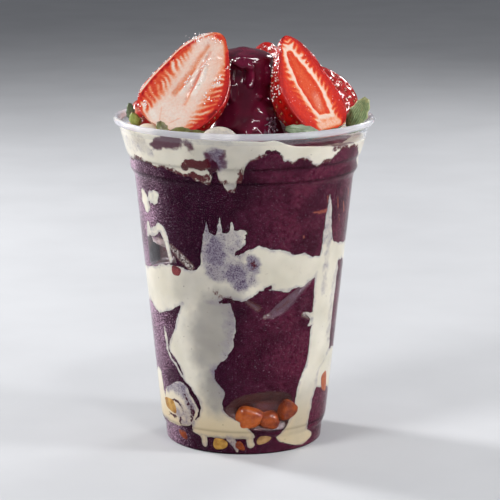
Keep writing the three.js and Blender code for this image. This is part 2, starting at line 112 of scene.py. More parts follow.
# %% Meshes from arrays
def make_piece(name, points, faces, *materials, edges=()):
    """A smooth piece from points in millimetres."""
    mesh = bpy.data.meshes.new(name)
    mesh.from_pydata((np.asarray(points, float) * MM).tolist(), list(edges), list(faces))
    mesh.shade_smooth()
    for material in materials:
        mesh.materials.append(material)
    made = bpy.data.objects.new(name, mesh)
    bpy.context.scene.collection.objects.link(made)
    return made


def settled(piece, modifier):
    """Keeps what a modifier makes as the piece's plain mesh."""
    mesh = bpy.data.meshes.new_from_object(piece.evaluated_get(bpy.context.evaluated_depsgraph_get()))
    piece.modifiers.remove(modifier)
    piece.data = mesh
    mesh.name = piece.name
    mesh.shade_smooth()


def points_of(piece):
    """The piece's points in millimetres, one row each."""
    flat = np.empty(len(piece.data.vertices) * 3)
    piece.data.vertices.foreach_get("co", flat)
    return flat.reshape(-1, 3) / MM


def write_on(piece, **numbers):
    """Writes numbers, or vectors, on every point, for nodes to read by name."""
    for name, values in numbers.items():
        values = np.asarray(values, np.float32)
        kind, key = ("FLOAT_VECTOR", "vector") if values.ndim > 1 else ("FLOAT", "value")
        field = piece.data.attributes.new(name, kind, "POINT")
        field.data.foreach_set(key, values.ravel())


def grid_faces(rows, columns, closed=True):
    """Quads between rows of points; closed joins the last column to the first."""
    last = columns if closed else columns - 1
    row, column = np.meshgrid(np.arange(rows - 1), np.arange(last), indexing="ij")
    here, beside = row * columns + column, row * columns + (column + 1) % columns
    return np.stack([here, beside, beside + columns, here + columns], -1).reshape(-1, 4).tolist()


def ball_faces(rings, columns):
    """Faces of a stack of rings; its two poles, low and high, are the last two points."""
    ring, pole = np.arange(columns), np.full(columns, rings * columns)
    after, top = np.roll(ring, -1), columns * (rings - 1)
    ends = np.vstack([np.stack([pole, after, ring], -1), np.stack([pole + 1, ring + top, after + top], -1)])
    return grid_faces(rings, columns) + ends.tolist()


def report(piece):
    low, high = np.array(piece.bound_box).min(0) / MM, np.array(piece.bound_box).max(0) / MM
    print(f"{piece.name}: {len(piece.data.polygons)} faces, {np.round(high - low, 1)} mm")


print("faces of three rings of four points and two poles:", len(ball_faces(3, 4)))


# %% [markdown]
# ## Small tools for finishes
#
# A finish is a tree of shader nodes. It could be wired by hand in the editor; written out, each becomes a
# short recipe: a ground colour, then layers laid over it, each with where it lies, how much it covers at
# most and its colour. Colours are written as they look on a screen, such as "4b2438", and turned into the
# linear values that the shader wants. Every pattern hangs on Object coordinates, so it stays with its
# piece.

# %% Nodes and finishes
def colour(code):
    """A screen colour as linear values."""
    parts = [int(code[i : i + 2], 16) / 255 for i in (0, 2, 4)]
    return [(c / 12.92 if c <= 0.04045 else ((c + 0.055) / 1.055) ** 2.4) for c in parts] + [1.0]


def add(tree, kind, inputs=None, **settings):
    """Adds a node. Inputs go by number or name: values, colour codes or other nodes' sockets."""
    made = tree.nodes.new(kind)
    for key, value in settings.items():
        setattr(made, key, value)
    for key, value in (inputs or {}).items():
        if isinstance(value, bpy.types.NodeSocket):
            tree.links.new(value, made.inputs[key])
        elif made.inputs[key].type == "RGBA" and isinstance(value, str):
            made.inputs[key].default_value = colour(value)
        else:
            made.inputs[key].default_value = value
    return made


class Finish:
    """A material with one Principled shader, whose own sockets hold its even properties."""

    def __init__(self, name, **sockets):
        self.material = bpy.data.materials.new(name)
        self.material.use_nodes = True
        self.tree = self.material.node_tree
        self.shader = self.tree.nodes["Principled BSDF"]
        for key, value in sockets.items():
            value = colour(value) if isinstance(value, str) else value
            self.shader.inputs[key.replace("_", " ")].default_value = value

    @cached_property
    def where(self):
        """Object coordinates, which stay with the piece."""
        return add(self.tree, "ShaderNodeTexCoord").outputs["Object"]

    def number(self, name):
        """A number that write_on put on the points."""
        return add(self.tree, "ShaderNodeAttribute", attribute_name=name).outputs["Fac"]

    def axis(self, which):
        """How far along X, Y or Z, in metres."""
        return add(self.tree, "ShaderNodeSeparateXYZ", {0: self.where}).outputs[which]

    def maths(self, operation, a, b=0.0):
        return add(self.tree, "ShaderNodeMath", {0: a, 1: b}, operation=operation).outputs[0]

    def level(self, value, low, high):
        """A soft step from 0 to 1 as a value goes from low to high."""
        inputs = {0: value, 1: low, 2: high}
        return add(self.tree, "ShaderNodeMapRange", inputs, interpolation_type="SMOOTHSTEP").outputs[0]

    def grain(self, size, detail=2.0, distortion=0.0):
        """Noise from 0 to 1 with lumps about as wide as size millimetres."""
        inputs = {"Vector": self.where, "Scale": 1 / (size * MM), "Detail": detail, "Distortion": distortion}
        return add(self.tree, "ShaderNodeTexNoise", inputs).outputs["Fac"]

    def specks(self, size, share):
        """1 in small round specks of about that size; share is how many cells hold one."""
        cells = add(self.tree, "ShaderNodeTexVoronoi", {"Vector": self.where, "Scale": 1 / (size * 2.4 * MM)})
        spread = add(self.tree, "ShaderNodeSeparateColor", {0: cells.outputs["Color"]}).outputs[0]
        near = self.level(cells.outputs["Distance"], 0.28, 0.12)
        return self.maths("MULTIPLY", self.maths("LESS_THAN", spread, share), near)

    def ragged(self, number, noise, amount):
        """A number whose edges are broken up by noise."""
        inputs = {0: noise, 1: amount, 2: -amount / 2}
        swing = add(self.tree, "ShaderNodeMath", inputs, operation="MULTIPLY_ADD").outputs[0]
        return self.maths("ADD", number, swing)

    def covered(self, number, noise, share, low, high):
        """Where a number is high, noise lets the cover through as flecks."""
        return self.level(self.maths("ADD", noise, self.maths("MULTIPLY", number, share)), low, high)

    def ramp(self, value, *stops):
        """A colour ramp with stops of (place, colour)."""
        made = add(self.tree, "ShaderNodeValToRGB", {0: value})
        elements = made.color_ramp.elements
        while len(elements) < len(stops):
            elements.new(0.5)
        for element, (place, code) in zip(elements, stops):
            element.position, element.color = place, colour(code)
        return made.outputs[0]

    def mix(self, factor, a, b):
        """One colour turning into another."""
        return add(self.tree, "ShaderNodeMix", {0: factor, 6: a, 7: b}, data_type="RGBA").outputs[2]

    def layers(self, shade, *covers):
        """Lays covers of (where, how much at most, colour) over a colour."""
        for where, most, cover in covers:
            shade = self.mix(where if most == 1 else self.maths("MULTIPLY", where, most), shade, cover)
        return shade

    def paint(self, value, socket="Base Color"):
        self.tree.links.new(value, self.shader.inputs[socket])

    def bump(self, height, depth):
        """Fine relief, depth in millimetres."""
        inputs = {"Height": height, "Distance": depth * MM, "Strength": 1.0}
        self.paint(add(self.tree, "ShaderNodeBump", inputs).outputs[0], "Normal")

    def done(self, shade):
        """Paints the colour and hands over the material."""
        self.paint(shade)
        print(f"{self.material.name}: {len(self.tree.nodes)} nodes")
        return self.material


# %% [markdown]
# ## The clear cup
#
# A deli cup is blown from a thin sheet: a tapered wall, a stacking foot, two small steps that stiffen it
# under the rim, and a lip that is rolled over. All of it is round, so one line, drawn from the middle of
# the base up the outside, over the lip and down the inside, tells everything. It could be spun with a
# Screw modifier. Geometry Nodes do it here by sweeping that line round a circle, with the number of
# facets as a named input.

# %% The line of the cup
RIM_R, CUP_H, LIP_H = 49.0, 124.0, 2.3  # outside of the lip, height to its top, its own height
FOOT_R, FOOT_H, RING_W = 29.7, 6.0, 2.6  # outside of the foot, height of its ring, width of the flat ring
PANEL_R, PANEL_Z = 25.0, 2.2  # raised middle of the base
STEP_Z, SHOULDER_Z = 104.0, 110.0  # the two steps under the rim
WALL = 0.6  # thickness of the plastic
INTO_WALL = 0.45  # how far in from the outside of the cup its contents are drawn
CORNER = 0.7  # how far from a corner the mould rounds it

OUTSIDE = [
    (0, PANEL_Z), (PANEL_R, PANEL_Z), (FOOT_R - RING_W, 0), (FOOT_R, 0), (FOOT_R + 0.4, FOOT_H),
    (FOOT_R + 1.3, FOOT_H + 1.5), (FOOT_R + 1.9, FOOT_H + 4), (RIM_R - 7.7, STEP_Z - 1.5),
    (RIM_R - 6.7, STEP_Z), (RIM_R - 6.1, STEP_Z + 1.2), (RIM_R - 5.9, SHOULDER_Z - 1),
    (RIM_R - 4.7, SHOULDER_Z + 1), (RIM_R - 3.8, SHOULDER_Z + 4.5), (RIM_R - 2.6, SHOULDER_Z + 8.5),
    (RIM_R - 1.8, CUP_H - LIP_H),
]
LIP = [
    (RIM_R - 0.5, CUP_H - LIP_H + 0.1), (RIM_R, CUP_H - LIP_H + 0.6), (RIM_R, CUP_H - 0.7),
    (RIM_R - 0.6, CUP_H), (RIM_R - 1.5, CUP_H), (RIM_R - 2.2, CUP_H - 0.6),
]


def inset(line, distance):
    """Moves a line of radius and height to its left, the inside of the cup."""
    line = np.asarray(line, float)
    step = np.diff(line, axis=0)
    step /= np.linalg.norm(step, axis=1)[:, None]
    into, out = np.vstack([step[:1], step]), np.vstack([step, step[-1:]])
    normal = np.column_stack([-(into + out)[:, 1], (into + out)[:, 0]])
    normal /= np.linalg.norm(normal, axis=1)[:, None]
    along = distance / (normal[:, 1] * into[:, 0] - normal[:, 0] * into[:, 1])
    return line + normal * along[:, None]


def rounded(line, size):
    """Cuts each corner twice, as the small radii of a mould do."""
    for cut in (size, size / 2):
        start, end = line[:-1], line[1:]
        share = np.minimum(cut / np.linalg.norm(end - start, axis=1), 0.28)[:, None]
        pairs = np.stack([start + (end - start) * share, end - (end - start) * share], 1)
        line = np.vstack([line[:1], pairs.reshape(-1, 2)[1:-1], line[-1:]])
    return line


inside_line = inset(OUTSIDE, WALL)
inside_line[0, 0] = 0
cup_line = rounded(np.vstack([OUTSIDE, LIP, inside_line[::-1]]), CORNER)
print("points on the cup's line:", len(cup_line))


# %% Spin the line with Geometry Nodes
def group_with(name, *inputs):
    """An empty Geometry Nodes group with named inputs, given as (name, kind)."""
    group = bpy.data.node_groups.new(name, "GeometryNodeTree")
    group.interface.new_socket("Geometry", in_out="INPUT", socket_type="NodeSocketGeometry")
    for label, kind in inputs:
        group.interface.new_socket(label, in_out="INPUT", socket_type="NodeSocket" + kind)
    group.interface.new_socket("Geometry", in_out="OUTPUT", socket_type="NodeSocketGeometry")
    return group, add(group, "NodeGroupInput").outputs


def finish_group(group, geometry, material):
    """Ends a group: instances made real, one material, and out."""
    real = add(group, "GeometryNodeRealizeInstances", {0: geometry}).outputs[0]
    coated = add(group, "GeometryNodeSetMaterial", {0: real, "Material": material}).outputs[0]
    add(group, "NodeGroupOutput", {0: coated})


def grown(name, points, group, values, edges=(), vectors=None):
    """A piece that a group grows from points, with its inputs set by identifier."""
    piece = make_piece(name, points, [], edges=edges)
    write_on(piece, **(vectors or {}))
    modifier = piece.modifiers.new(group.name, "NODES")
    modifier.node_group = group
    for item in group.interface.items_tree:
        if item.in_out == "INPUT" and item.name in values:
            modifier[item.identifier] = values[item.name]
    settled(piece, modifier)
    return piece


inputs = ("Facets", "Int"), ("Circle radius", "Float"), ("Plastic", "Material")
lathe, given = group_with("Spin a line", *inputs)
line_curve = add(lathe, "GeometryNodeMeshToCurve", {0: given["Geometry"]}).outputs[0]
inputs = {"Resolution": given["Facets"], "Radius": given["Circle radius"]}
circle = add(lathe, "GeometryNodeCurvePrimitiveCircle", inputs).outputs[0]
upright = add(lathe, "GeometryNodeSetCurveNormal", {0: circle}, mode="Z_UP").outputs[0]
swept = add(lathe, "GeometryNodeCurveToMesh", {0: upright, 1: line_curve}).outputs[0]
joined = add(lathe, "GeometryNodeMergeByDistance", {0: swept, "Distance": 1e-6}).outputs[0]
turned = add(lathe, "GeometryNodeTransform", {0: joined, "Rotation": (math.pi, 0, 0)}).outputs[0]
finish_group(lathe, add(lathe, "GeometryNodeSetShadeSmooth", {0: turned}).outputs[0], given["Plastic"])
print("nodes that spin a line:", len(lathe.nodes))


# %% [markdown]
# Clear plastic is a Principled shader with full transmission. A path tracer finds it hard to light what
# stands inside such a shell, so the shader lets lamps straight through: rays that look for a lamp or
# gather soft light meet a transparent surface instead. The rolled lip is thicker, and the maker's mould
# leaves it a little milky, so it gets its own, rougher plastic, and the band under it is hazy.

# %% Clear and milky plastic
def clear_plastic(name, roughness, tint, milk, wave, depth):
    f = Finish(name, Base_Color=tint, Roughness=roughness, IOR=1.14, Transmission_Weight=1.0 - milk)
    rays = add(f.tree, "ShaderNodeLightPath").outputs
    passing = f.maths("MAXIMUM", rays["Is Shadow Ray"], rays["Is Diffuse Ray"])
    open_way = add(f.tree, "ShaderNodeBsdfTransparent", {"Color": "f4f5f7"}).outputs[0]
    either = add(f.tree, "ShaderNodeMixShader", {0: passing, 1: f.shader.outputs[0], 2: open_way})
    f.tree.links.new(either.outputs[0], f.tree.nodes["Material Output"].inputs["Surface"])
    f.bump(f.grain(wave, 1.0), depth)
    return f.material


FACETS = 240
CIRCLE_R = 30.0  # any radius does: the line is moved out by it and back
LIP_FROM, HAZE_FROM = CUP_H - LIP_H - 0.15, 120.0
PLASTICS = [
    clear_plastic("clear plastic", 0.02, "fcfdff", 0.0, 14, 0.25),
    clear_plastic("milky lip plastic", 0.1, "f2f1f6", 0.36, 6, 0.1),
    clear_plastic("hazy shoulder plastic", 0.1, "f0f2f6", 0.06, 9, 0.2),
]
line_points = np.column_stack([cup_line[:, 0] - CIRCLE_R, cup_line[:, 1], np.zeros(len(cup_line))])
line_edges = [(i, i + 1) for i in range(len(line_points) - 1)]
values = {"Facets": FACETS, "Circle radius": CIRCLE_R * MM, "Plastic": PLASTICS[0]}
cup = grown("clear_cup", line_points, lathe, values, line_edges)
for plastic in PLASTICS[1:]:
    cup.data.materials.append(plastic)
for face in cup.data.polygons:
    if face.center.z > HAZE_FROM * MM:
        face.material_index = 1 if face.center.z > LIP_FROM * MM else 2
report(cup)


# %% [markdown]
# ## The wall, written as tables
#
# Seen through the plastic, cream and pulp are flat shapes with sharp edges. They are kept here as
# tables: a band round the cup has a lower and an upper edge for each angle, a run down the wall has a
# left and a right edge for each height, and small things are strokes, a path with a half width at each
# point. Each gives a signed distance, in millimetres inside its edge, and distances can be joined, cut
# and made uneven with noise. The same field then shapes the cream, hollows the pulp under it and tells
# the materials where the cream is thin.

# %% Bands, runs and strokes of cream
# Degrees round from the front towards the right, lower edge, upper edge.
BAND = [
    (-180, 59, 74), (-130, 56, 71.5), (-100, 53.5, 68.5), (-75, 54.7, 67.9), (-68, 52.6, 69.3),
    (-61, 51.6, 70.3), (-55, 52.4, 71), (-46, 55.3, 72.4), (-40, 57, 72.2), (-31, 58, 71.2),
    (-27, 58, 71.8), (-25, 58.5, 74), (-23.5, 59, 79), (-22, 59, 84.6), (-19, 59.3, 86.5),
    (-14.6, 60.5, 85.3), (-11.8, 61.5, 86.5), (-9, 61.6, 86.4), (-4.5, 60.6, 87.3), (-1, 60.3, 87.7),
    (0.6, 60.4, 85.5), (1.6, 60.9, 81), (4, 61.8, 80.8), (8, 63.4, 81.5), (12, 64.4, 81.4),
    (16, 64.4, 80.3), (20, 63.7, 79.6), (26, 63.2, 78.2), (30, 63.9, 77.2), (35, 64.8, 77.5),
    (41, 66.4, 75.6), (47, 68.5, 74.8), (54, 69.5, 78), (62, 70, 79.2), (70, 71, 78), (75, 71.2, 77.6),
    (86, 68.2, 76.6), (100, 67, 76), (130, 64.5, 77.5), (180, 59, 74),
]
LOW_LEFT = [
    (-100, 9, 14), (-90, 8.5, 24), (-76, 8.5, 29), (-70.5, 8.5, 28), (-68, 8.5, 21), (-66.5, 8.5, 18),
    (-64, 8.5, 22), (-57, 8.3, 23.9), (-50, 8.6, 26.4), (-45, 8.8, 27), (-41, 9.3, 25.6), (-36.5, 11, 21.5),
    (-33.5, 14, 18.5), (-32, 16.4, 17),
]
LOW_RIGHT = [
    (55, 23, 27), (58, 23, 30.5), (62, 22.5, 33), (70, 22, 36.5), (80, 20, 36.5), (95, 14, 33),
    (110, 12, 22),
]
# Height, left edge, right edge in degrees.
LEFT_RUN = [
    (6.4, -34, 5), (7.2, -38.5, 8.5), (9, -38.5, 6.5), (10.5, -37, 3.5), (12.9, -34, -1.5), (15, -31, -7),
    (17.5, -30, -12.6), (20.5, -31.5, -14), (24.1, -36, -12.3), (26, -38.5, -13), (28.5, -43, -17.5),
    (30, -43.5, -19), (32.5, -45, -18.5), (34.8, -48, -16.5), (36.5, -52, -14.5), (38.7, -55, -9.5),
    (42.2, -52.5, -7), (45.8, -48.5, -5.4), (50.5, -45, -5), (54, -42, -5), (57, -40, -6.5), (60, -38, -8),
]
RIGHT_RUN = [
    (1.3, 46, 49), (2, 40, 56), (3.2, 31, 59.5), (4.8, 25, 60), (6.4, 22.5, 56), (7.3, 25, 51.5),
    (10, 29, 51), (12.8, 32.5, 51), (16, 35, 52.5), (20.5, 36, 54.5), (25.1, 37.5, 55.5),
    (28.5, 39.3, 56.5), (31, 41, 60), (33.5, 43, 65), (37.5, 44, 70.5), (40, 44.3, 70), (47, 45, 69),
    (62.5, 45.2, 69), (68, 44.6, 70), (74, 47, 66), (78, 48, 62), (82, 48.3, 57), (86.3, 48.8, 55.2),
    (90, 49, 55), (93.9, 49.9, 53.6), (97.8, 50.8, 51.6),
]
BACK_RUNS = [
    [(2, 150, 160), (8, 147, 164), (18, 149, 156), (28, 144, 156), (46, 146, 162), (60, 140, 160)],
    [(10, 237, 242), (24, 231, 245), (33, 234, 244), (44, 235, 249), (56, 228, 246)],
]
# Paths of (degrees, height, half width).
DROPS = [
    [(-20.4, 84, 1.3), (-20.2, 90.2, 0.2)],  # spikes on the plume
    [(-13.3, 84, 1.6), (-13, 92, 0.2)],
    [(-6.4, 86, 1.1), (-6.2, 91, 0.2)],
    [(-2, 86, 1.6), (0, 86.5, 1)],
    [(50.8, 93, 1), (51, 98.4, 0.3)],  # tip of the long run
    [(-57.5, 46.5, 0.4), (-56.6, 43, 1.2), (-56.2, 38.6, 0.5)],  # thin drips on the left
    [(-56.2, 38.6, 0.5), (-53.5, 35.6, 0.55), (-48, 32.4, 0.55), (-44, 29.2, 0.6)],
    [(-68.4, 97.4, 1.5), (-66, 94.6, 3.2), (-64, 92.2, 2.4)],  # two spots on the upper left
    [(-58, 96.6, 2.4), (-55.4, 96.6, 2.9), (-53.4, 97.6, 2.2)],
    [(-66.5, 81, 1.1), (-65.2, 85.6, 1.1), (-63.5, 82.4, 1.5), (-58.5, 83.2, 1.5), (-53, 85.6, 1.6),
     (-49.8, 85, 1.7), (-48, 82, 1.5), (-46.6, 78, 1.3), (-45.3, 74, 1)],  # over the air pocket
    [(-30, 6.5, 1.7), (-29.6, 3.4, 1.4)],  # drips in the foot
    [(-10, 6.5, 1.8), (-6.5, 4, 1.3), (-5.5, 1.6, 0.7)],
    [(4.6, 6.6, 1.6), (5, 4.2, 1.4)],
    [(44.5, 53, 1.4), (40, 54, 0.6)],  # wisps beside the long run
    [(44.6, 50.2, 1.2), (42.5, 49.2, 0.5)], [(-45, 57, 0.6), (-43.4, 56.4, 0.4)],
    [(118, 76, 1.6), (119, 82, 0.3)],  # a few more at the back
    [(170, 60, 1.5), (171, 53.5, 0.5)], [(160, 92.5, 0.8), (162.5, 90.5, 1.5)],
    [(-160, 72, 1.6), (-158.5, 79.5, 0.3)], [(-151, 71, 1.3), (-151.6, 76, 0.2)],
    [(-120, 90, 0.7), (-118, 88, 1.3)], [(135, 41, 0.9), (137.5, 37, 0.5)],
]
HOLES = [[(6, 83.5, 1.2), (2, 81.5, 1.1), (-3.2, 79, 0.9)], [(12.6, 64.8, 0.6), (15, 65.6, 0.7)]]
# Lower edge of the cream round the rim, and its upper edge, for each angle.
RIM_EDGE = [
    (-180, 108), (-140, 106.5), (-110, 109.5), (-81, 109.7), (-78, 108.9), (-61, 110.2), (-52, 109.7),
    (-49, 108.5), (-42, 109), (-34, 107.2), (-27, 106.5), (-22, 105.2), (-18, 103.9), (-16.2, 104.6),
    (-15.2, 109), (-13, 109), (-12.3, 105.4), (-10, 105), (-9.6, 102.6), (-8.8, 101.6), (-5, 101.4),
    (-4.2, 102.4), (-3.9, 105), (-1.2, 105.2), (-0.4, 108.5), (0.8, 112.2), (2.5, 113.5), (5, 113.9),
    (8, 114.9), (11, 116.3), (15, 116.2), (17, 115.4), (19, 113.1), (23, 111.8), (27, 113.1), (31, 113.1),
    (35, 111), (39, 110.3), (45, 111.3), (49, 114), (54, 115.4), (62, 115.5), (67, 114.8), (74, 110),
    (80, 105), (86, 104), (95, 106), (120, 109.5), (150, 106), (180, 108),
]
RIM_TOP = [
    (-180, 116.4), (-125, 117), (-95, 119.5), (-75, 121), (-55, 121.6), (-30, 121.6), (-3, 121.3),
    (8, 120.6), (13, 121), (24, 118.4), (46, 116.6), (60, 116.3), (90, 116.5), (130, 116.2), (180, 116.4),
]
print("strokes of cream:", len(DROPS))

# %% Read the tables
BACK_FROM, BACK_FULL = 95, 120  # degrees from the front where the wilder smears of the back begin
fill_line = inset(OUTSIDE, INTO_WALL)
wall_line = fill_line[3:]  # from the foot up


def wall_radius(height):
    """How far out the contents reach at a height."""
    return np.interp(height, wall_line[:, 1], wall_line[:, 0])


def arc_at(height):
    """Millimetres of wall for one degree."""
    return wall_radius(height) * math.pi / 180


def half_turn(degrees):
    return (np.asarray(degrees, float) + 180) % 360 - 180


def look_up(table, at, column):
    rows = np.asarray(table, float)
    return np.interp(at, rows[:, 0], rows[:, column])


def round_axis(degrees, radius, height):
    """Points at an angle from the front, a distance from the axis and a height."""
    turn = np.radians(degrees)
    return np.stack(np.broadcast_arrays(radius * np.sin(turn), -radius * np.cos(turn), height), -1)


def on_wall(degrees, height, inwards=0.0):
    return round_axis(degrees, wall_radius(height) - inwards, height)


def in_band(table, degrees, height):
    degrees = half_turn(degrees)
    inside = np.minimum(height - look_up(table, degrees, 1), look_up(table, degrees, 2) - height)
    if table[0][0] > -180:  # it has ends
        ends = np.minimum(degrees - table[0][0], table[-1][0] - degrees)
        inside = np.minimum(inside, ends * arc_at(height))
    return inside


def in_run(table, degrees, height):
    left, right = look_up(table, height, 1), look_up(table, height, 2)
    across = ((right - left) / 2 - np.abs(half_turn(degrees - (left + right) / 2))) * arc_at(height)
    return np.minimum(across, np.minimum(height - table[0][0] + 0.3, table[-1][0] - height))


def in_path(path, x, y, arc=1.0):
    """Millimetres inside a path of (x, y, half width); arc turns x into millimetres."""
    inside = np.full(np.broadcast(x, y).shape, -1e3)
    for (x0, y0, w0), (x1, y1, w1) in zip(path, path[1:]):
        across, along = (x - x0) * arc, y - y0
        to_x, to_y = (x1 - x0) * arc, y1 - y0
        share = np.clip((across * to_x + along * to_y) / (to_x**2 + to_y**2 + 1e-9), 0, 1)
        away = np.hypot(across - share * to_x, along - share * to_y)
        inside = np.maximum(inside, mixed(w0, w1, share) - away)
    return inside


def in_stroke(stroke, degrees, height):
    middle = (stroke[0][0] + stroke[-1][0]) / 2
    return in_path(stroke, half_turn(degrees - middle) + middle, height, arc_at(height))


def together(shapes, soft=0.5):
    """Joins signed distances, with a small fillet where two meet."""
    return soft * np.log(sum(np.exp(np.clip(shape / soft, -60, 60)) for shape in shapes))


def strokes_at(strokes, degrees, height, soft=0.4):
    return together([in_stroke(stroke, degrees, height) for stroke in strokes], soft)


def marked(strokes, degrees, height, soft=1.2):
    """1 on the strokes, fading to 0 over a soft margin outside them."""
    return smooth(strokes_at(strokes, degrees, height), -soft, 0.3)


print("one degree of wall, 60 mm up:", round(float(arc_at(60.0)), 2), "mm")


# %% The field of cream
def cream_field(degrees, height):
    """Millimetres inside the edge of the cream on the wall, below 0 where there is none."""
    spot, arc = on_wall(degrees, height), arc_at(height)
    wild = smooth(np.abs(half_turn(degrees)), BACK_FROM, BACK_FULL)
    height = height + wild * waves(spot, (1.6, 9, 7), (0.8, 4.5, 8))
    degrees = degrees + wild * waves(spot, (1.3, 7, 9)) / arc
    degrees = degrees + waves(spot, (0.5, 3.1, 1), (0.22, 1.2, 2)) / arc
    height = height + waves(spot, (0.5, 2.7, 3), (0.22, 1.1, 4))
    bands = [in_band(table, degrees, height) for table in (BAND, LOW_LEFT, LOW_RIGHT)]
    runs = [in_run(table, degrees, height) for table in (LEFT_RUN, RIGHT_RUN, *BACK_RUNS)]
    inside = np.maximum(together(bands + runs), strokes_at(DROPS, degrees, height))
    return np.minimum(inside, -strokes_at(HOLES, degrees, height))


def rim_edge(degrees):
    """Lower edge of the cream at the rim."""
    spot, degrees = on_wall(degrees, 110.0), half_turn(degrees)
    wild = smooth(np.abs(degrees), BACK_FROM, BACK_FULL) * waves(spot, (1.5, 6, 10))
    rough = waves(spot, (0.45, 2.2, 5), (0.25, 1.0, 6))
    rough = rough * (1 - 0.8 * np.exp(-(((degrees + 6.7) / 5) ** 2)))  # a clean tongue in front
    return look_up(RIM_EDGE, degrees, 1) + rough + wild


def depth_of(inside, slope, deepest):
    """Cream is thin at its edge and thicker further in."""
    return np.clip(slope * inside, 0, deepest)


print("cream on the wall at the front, 70 mm up:", bool(cream_field(np.array(0.0), np.array(70.0)) > 0))


# %% [markdown]
# ## The cream on the wall
#
# The cream could be painted on the pulp as a texture, but then it would have no body of its own. It is
# made here as a real, closed piece. A fine grid is laid over the wall and the field is read at its
# points; triangles that lie inside are kept and those on the outline are cut where the field is zero.
# The same triangles, pushed inwards by the cream's depth, make its back. Depth is zero on the outline,
# so front and back share those points and the piece is closed.

# %% Cut a sheet out of a grid by its outline
def cut_out(inside):
    """Grid places (row, column), whether they lie on the outline, and triangles, where inside is above 0."""
    rows, columns = inside.shape
    value = np.where(np.abs(inside) < 0.02, 0.02, inside).ravel()
    quads = np.array(grid_faces(rows, columns))
    triangles = np.concatenate([quads[:, [0, 1, 2]], quads[:, [0, 2, 3]]])
    count = (value[triangles] > 0).sum(1)
    split = triangles[(count == 1) | (count == 2)]
    keep = value[split] > 0
    one_in = keep.sum(1) == 1
    odd = np.where(one_in, keep.argmax(1), (~keep).argmax(1))
    split = np.take_along_axis(split, (odd[:, None] + np.arange(3)) % 3, 1)  # the odd corner first
    ends = np.sort(np.concatenate([split[:, [0, 1]], split[:, [0, 2]]]), 1)
    ends, number = np.unique(ends, axis=0, return_inverse=True)
    first, second = np.split(number.reshape(-1) + rows * columns, 2)
    faces = np.concatenate([
        triangles[count == 3],
        np.stack([split[:, 0], first, second], -1)[one_in],
        np.stack([first, split[:, 1], split[:, 2]], -1)[~one_in],
        np.stack([first, split[:, 2], second], -1)[~one_in],
    ])
    start, end = ends.T
    share = value[start] / (value[start] - value[end])
    row, column = np.divmod(np.arange(rows * columns), columns)
    step = (column[end] - column[start] + columns / 2) % columns - columns / 2
    all_rows = np.concatenate([row, mixed(row[start].astype(float), row[end], share)])
    all_columns = np.concatenate([column, (column[start] + step * share) % columns])
    used, faces = np.unique(faces, return_inverse=True)
    return all_rows[used], all_columns[used], used >= rows * columns, faces.reshape(-1, 3)


print("triangles of a sheet cut from a small grid:", len(cut_out(np.eye(5) - 0.5)[3]))


# %% [markdown]
# A layer of cream also runs right through the cup. It is a wavy disc that ends a little short of the
# wall, joined to the cream on the wall with a Boolean modifier; the same disc, a hair thicker, will cut
# the pulp in two.

# %% The layer, and the whole of the cream
def carve(piece, tool, operation):
    """Joins or cuts a closed piece with another, which is then gone."""
    modifier = piece.modifiers.new("carve", "BOOLEAN")
    modifier.solver, modifier.operation, modifier.object = "MANIFOLD", operation, tool
    settled(piece, modifier)
    bpy.data.objects.remove(tool)


def layer_height(degrees, radius):
    """Middle of the layer of cream that runs through the cup."""
    turn = np.radians(degrees)
    return LAYER_Z + LAYER_TILT * radius * np.sin(turn) + LAYER_WAVE * np.sin(3 * turn + 1) * radius / RIM_R


def layer_disc(name, half, short):
    """The layer as a disc that ends a little short of the wall."""
    degrees = np.linspace(-180, 180, 120, endpoint=False)
    rings = []
    for side, share in ((-1, 0.35), (-1, 0.7), (-1, 1.0), (1, 1.0), (1, 0.7), (1, 0.35)):
        radius = (wall_radius(layer_height(degrees, 36.0)) - short) * share
        rings.append(round_axis(degrees, radius, layer_height(degrees, radius) + side * half))
    points = np.vstack([*rings, [[0, 0, LAYER_Z - half], [0, 0, LAYER_Z + half]]])
    return make_piece(name, points, ball_faces(len(rings), len(degrees)))


LAYER_Z, LAYER_TILT, LAYER_WAVE = 67.3, 0.13, 0.9
LAYER_HALF, LAYER_SHORT = 4.0, 2.0  # half its thickness, and how far from the wall it ends
FILM_SLOPE, FILM_DEPTH = 0.8, 4.0  # how fast the cream thickens from its edge, and to what
FILM_COLUMNS, FILM_PITCH, FILM_LOW, FILM_HIGH = 480, 0.5, 0.6, 101.5  # the grid, and where it starts and ends
PROUD = 0.03  # how much nearer to the plastic the cream is than the pulp

film_heights = np.arange(FILM_LOW, FILM_HIGH, FILM_PITCH)
film_degrees = np.arange(FILM_COLUMNS) * 360 / FILM_COLUMNS - 180
rows, columns, on_outline, faces = cut_out(cream_field(film_degrees, film_heights[:, None]))
degrees = columns * 360 / FILM_COLUMNS - 180
heights = np.interp(rows, np.arange(len(film_heights)), film_heights)
front = on_wall(degrees, heights, -PROUD)
inner = np.flatnonzero(~on_outline)
degrees, heights = degrees[inner], heights[inner]
depth = depth_of(np.maximum(cream_field(degrees, heights), 0.05), FILM_SLOPE, FILM_DEPTH)
back_number = np.arange(len(front))
back_number[inner] = len(front) + np.arange(len(inner))
faces = np.concatenate([faces, back_number[faces][:, ::-1]])
points = np.vstack([front, on_wall(degrees, heights, depth)])
cream = make_piece("cream_band_and_runs", points, faces.tolist())
carve(cream, layer_disc("layer", LAYER_HALF, LAYER_SHORT), "UNION")
report(cream)
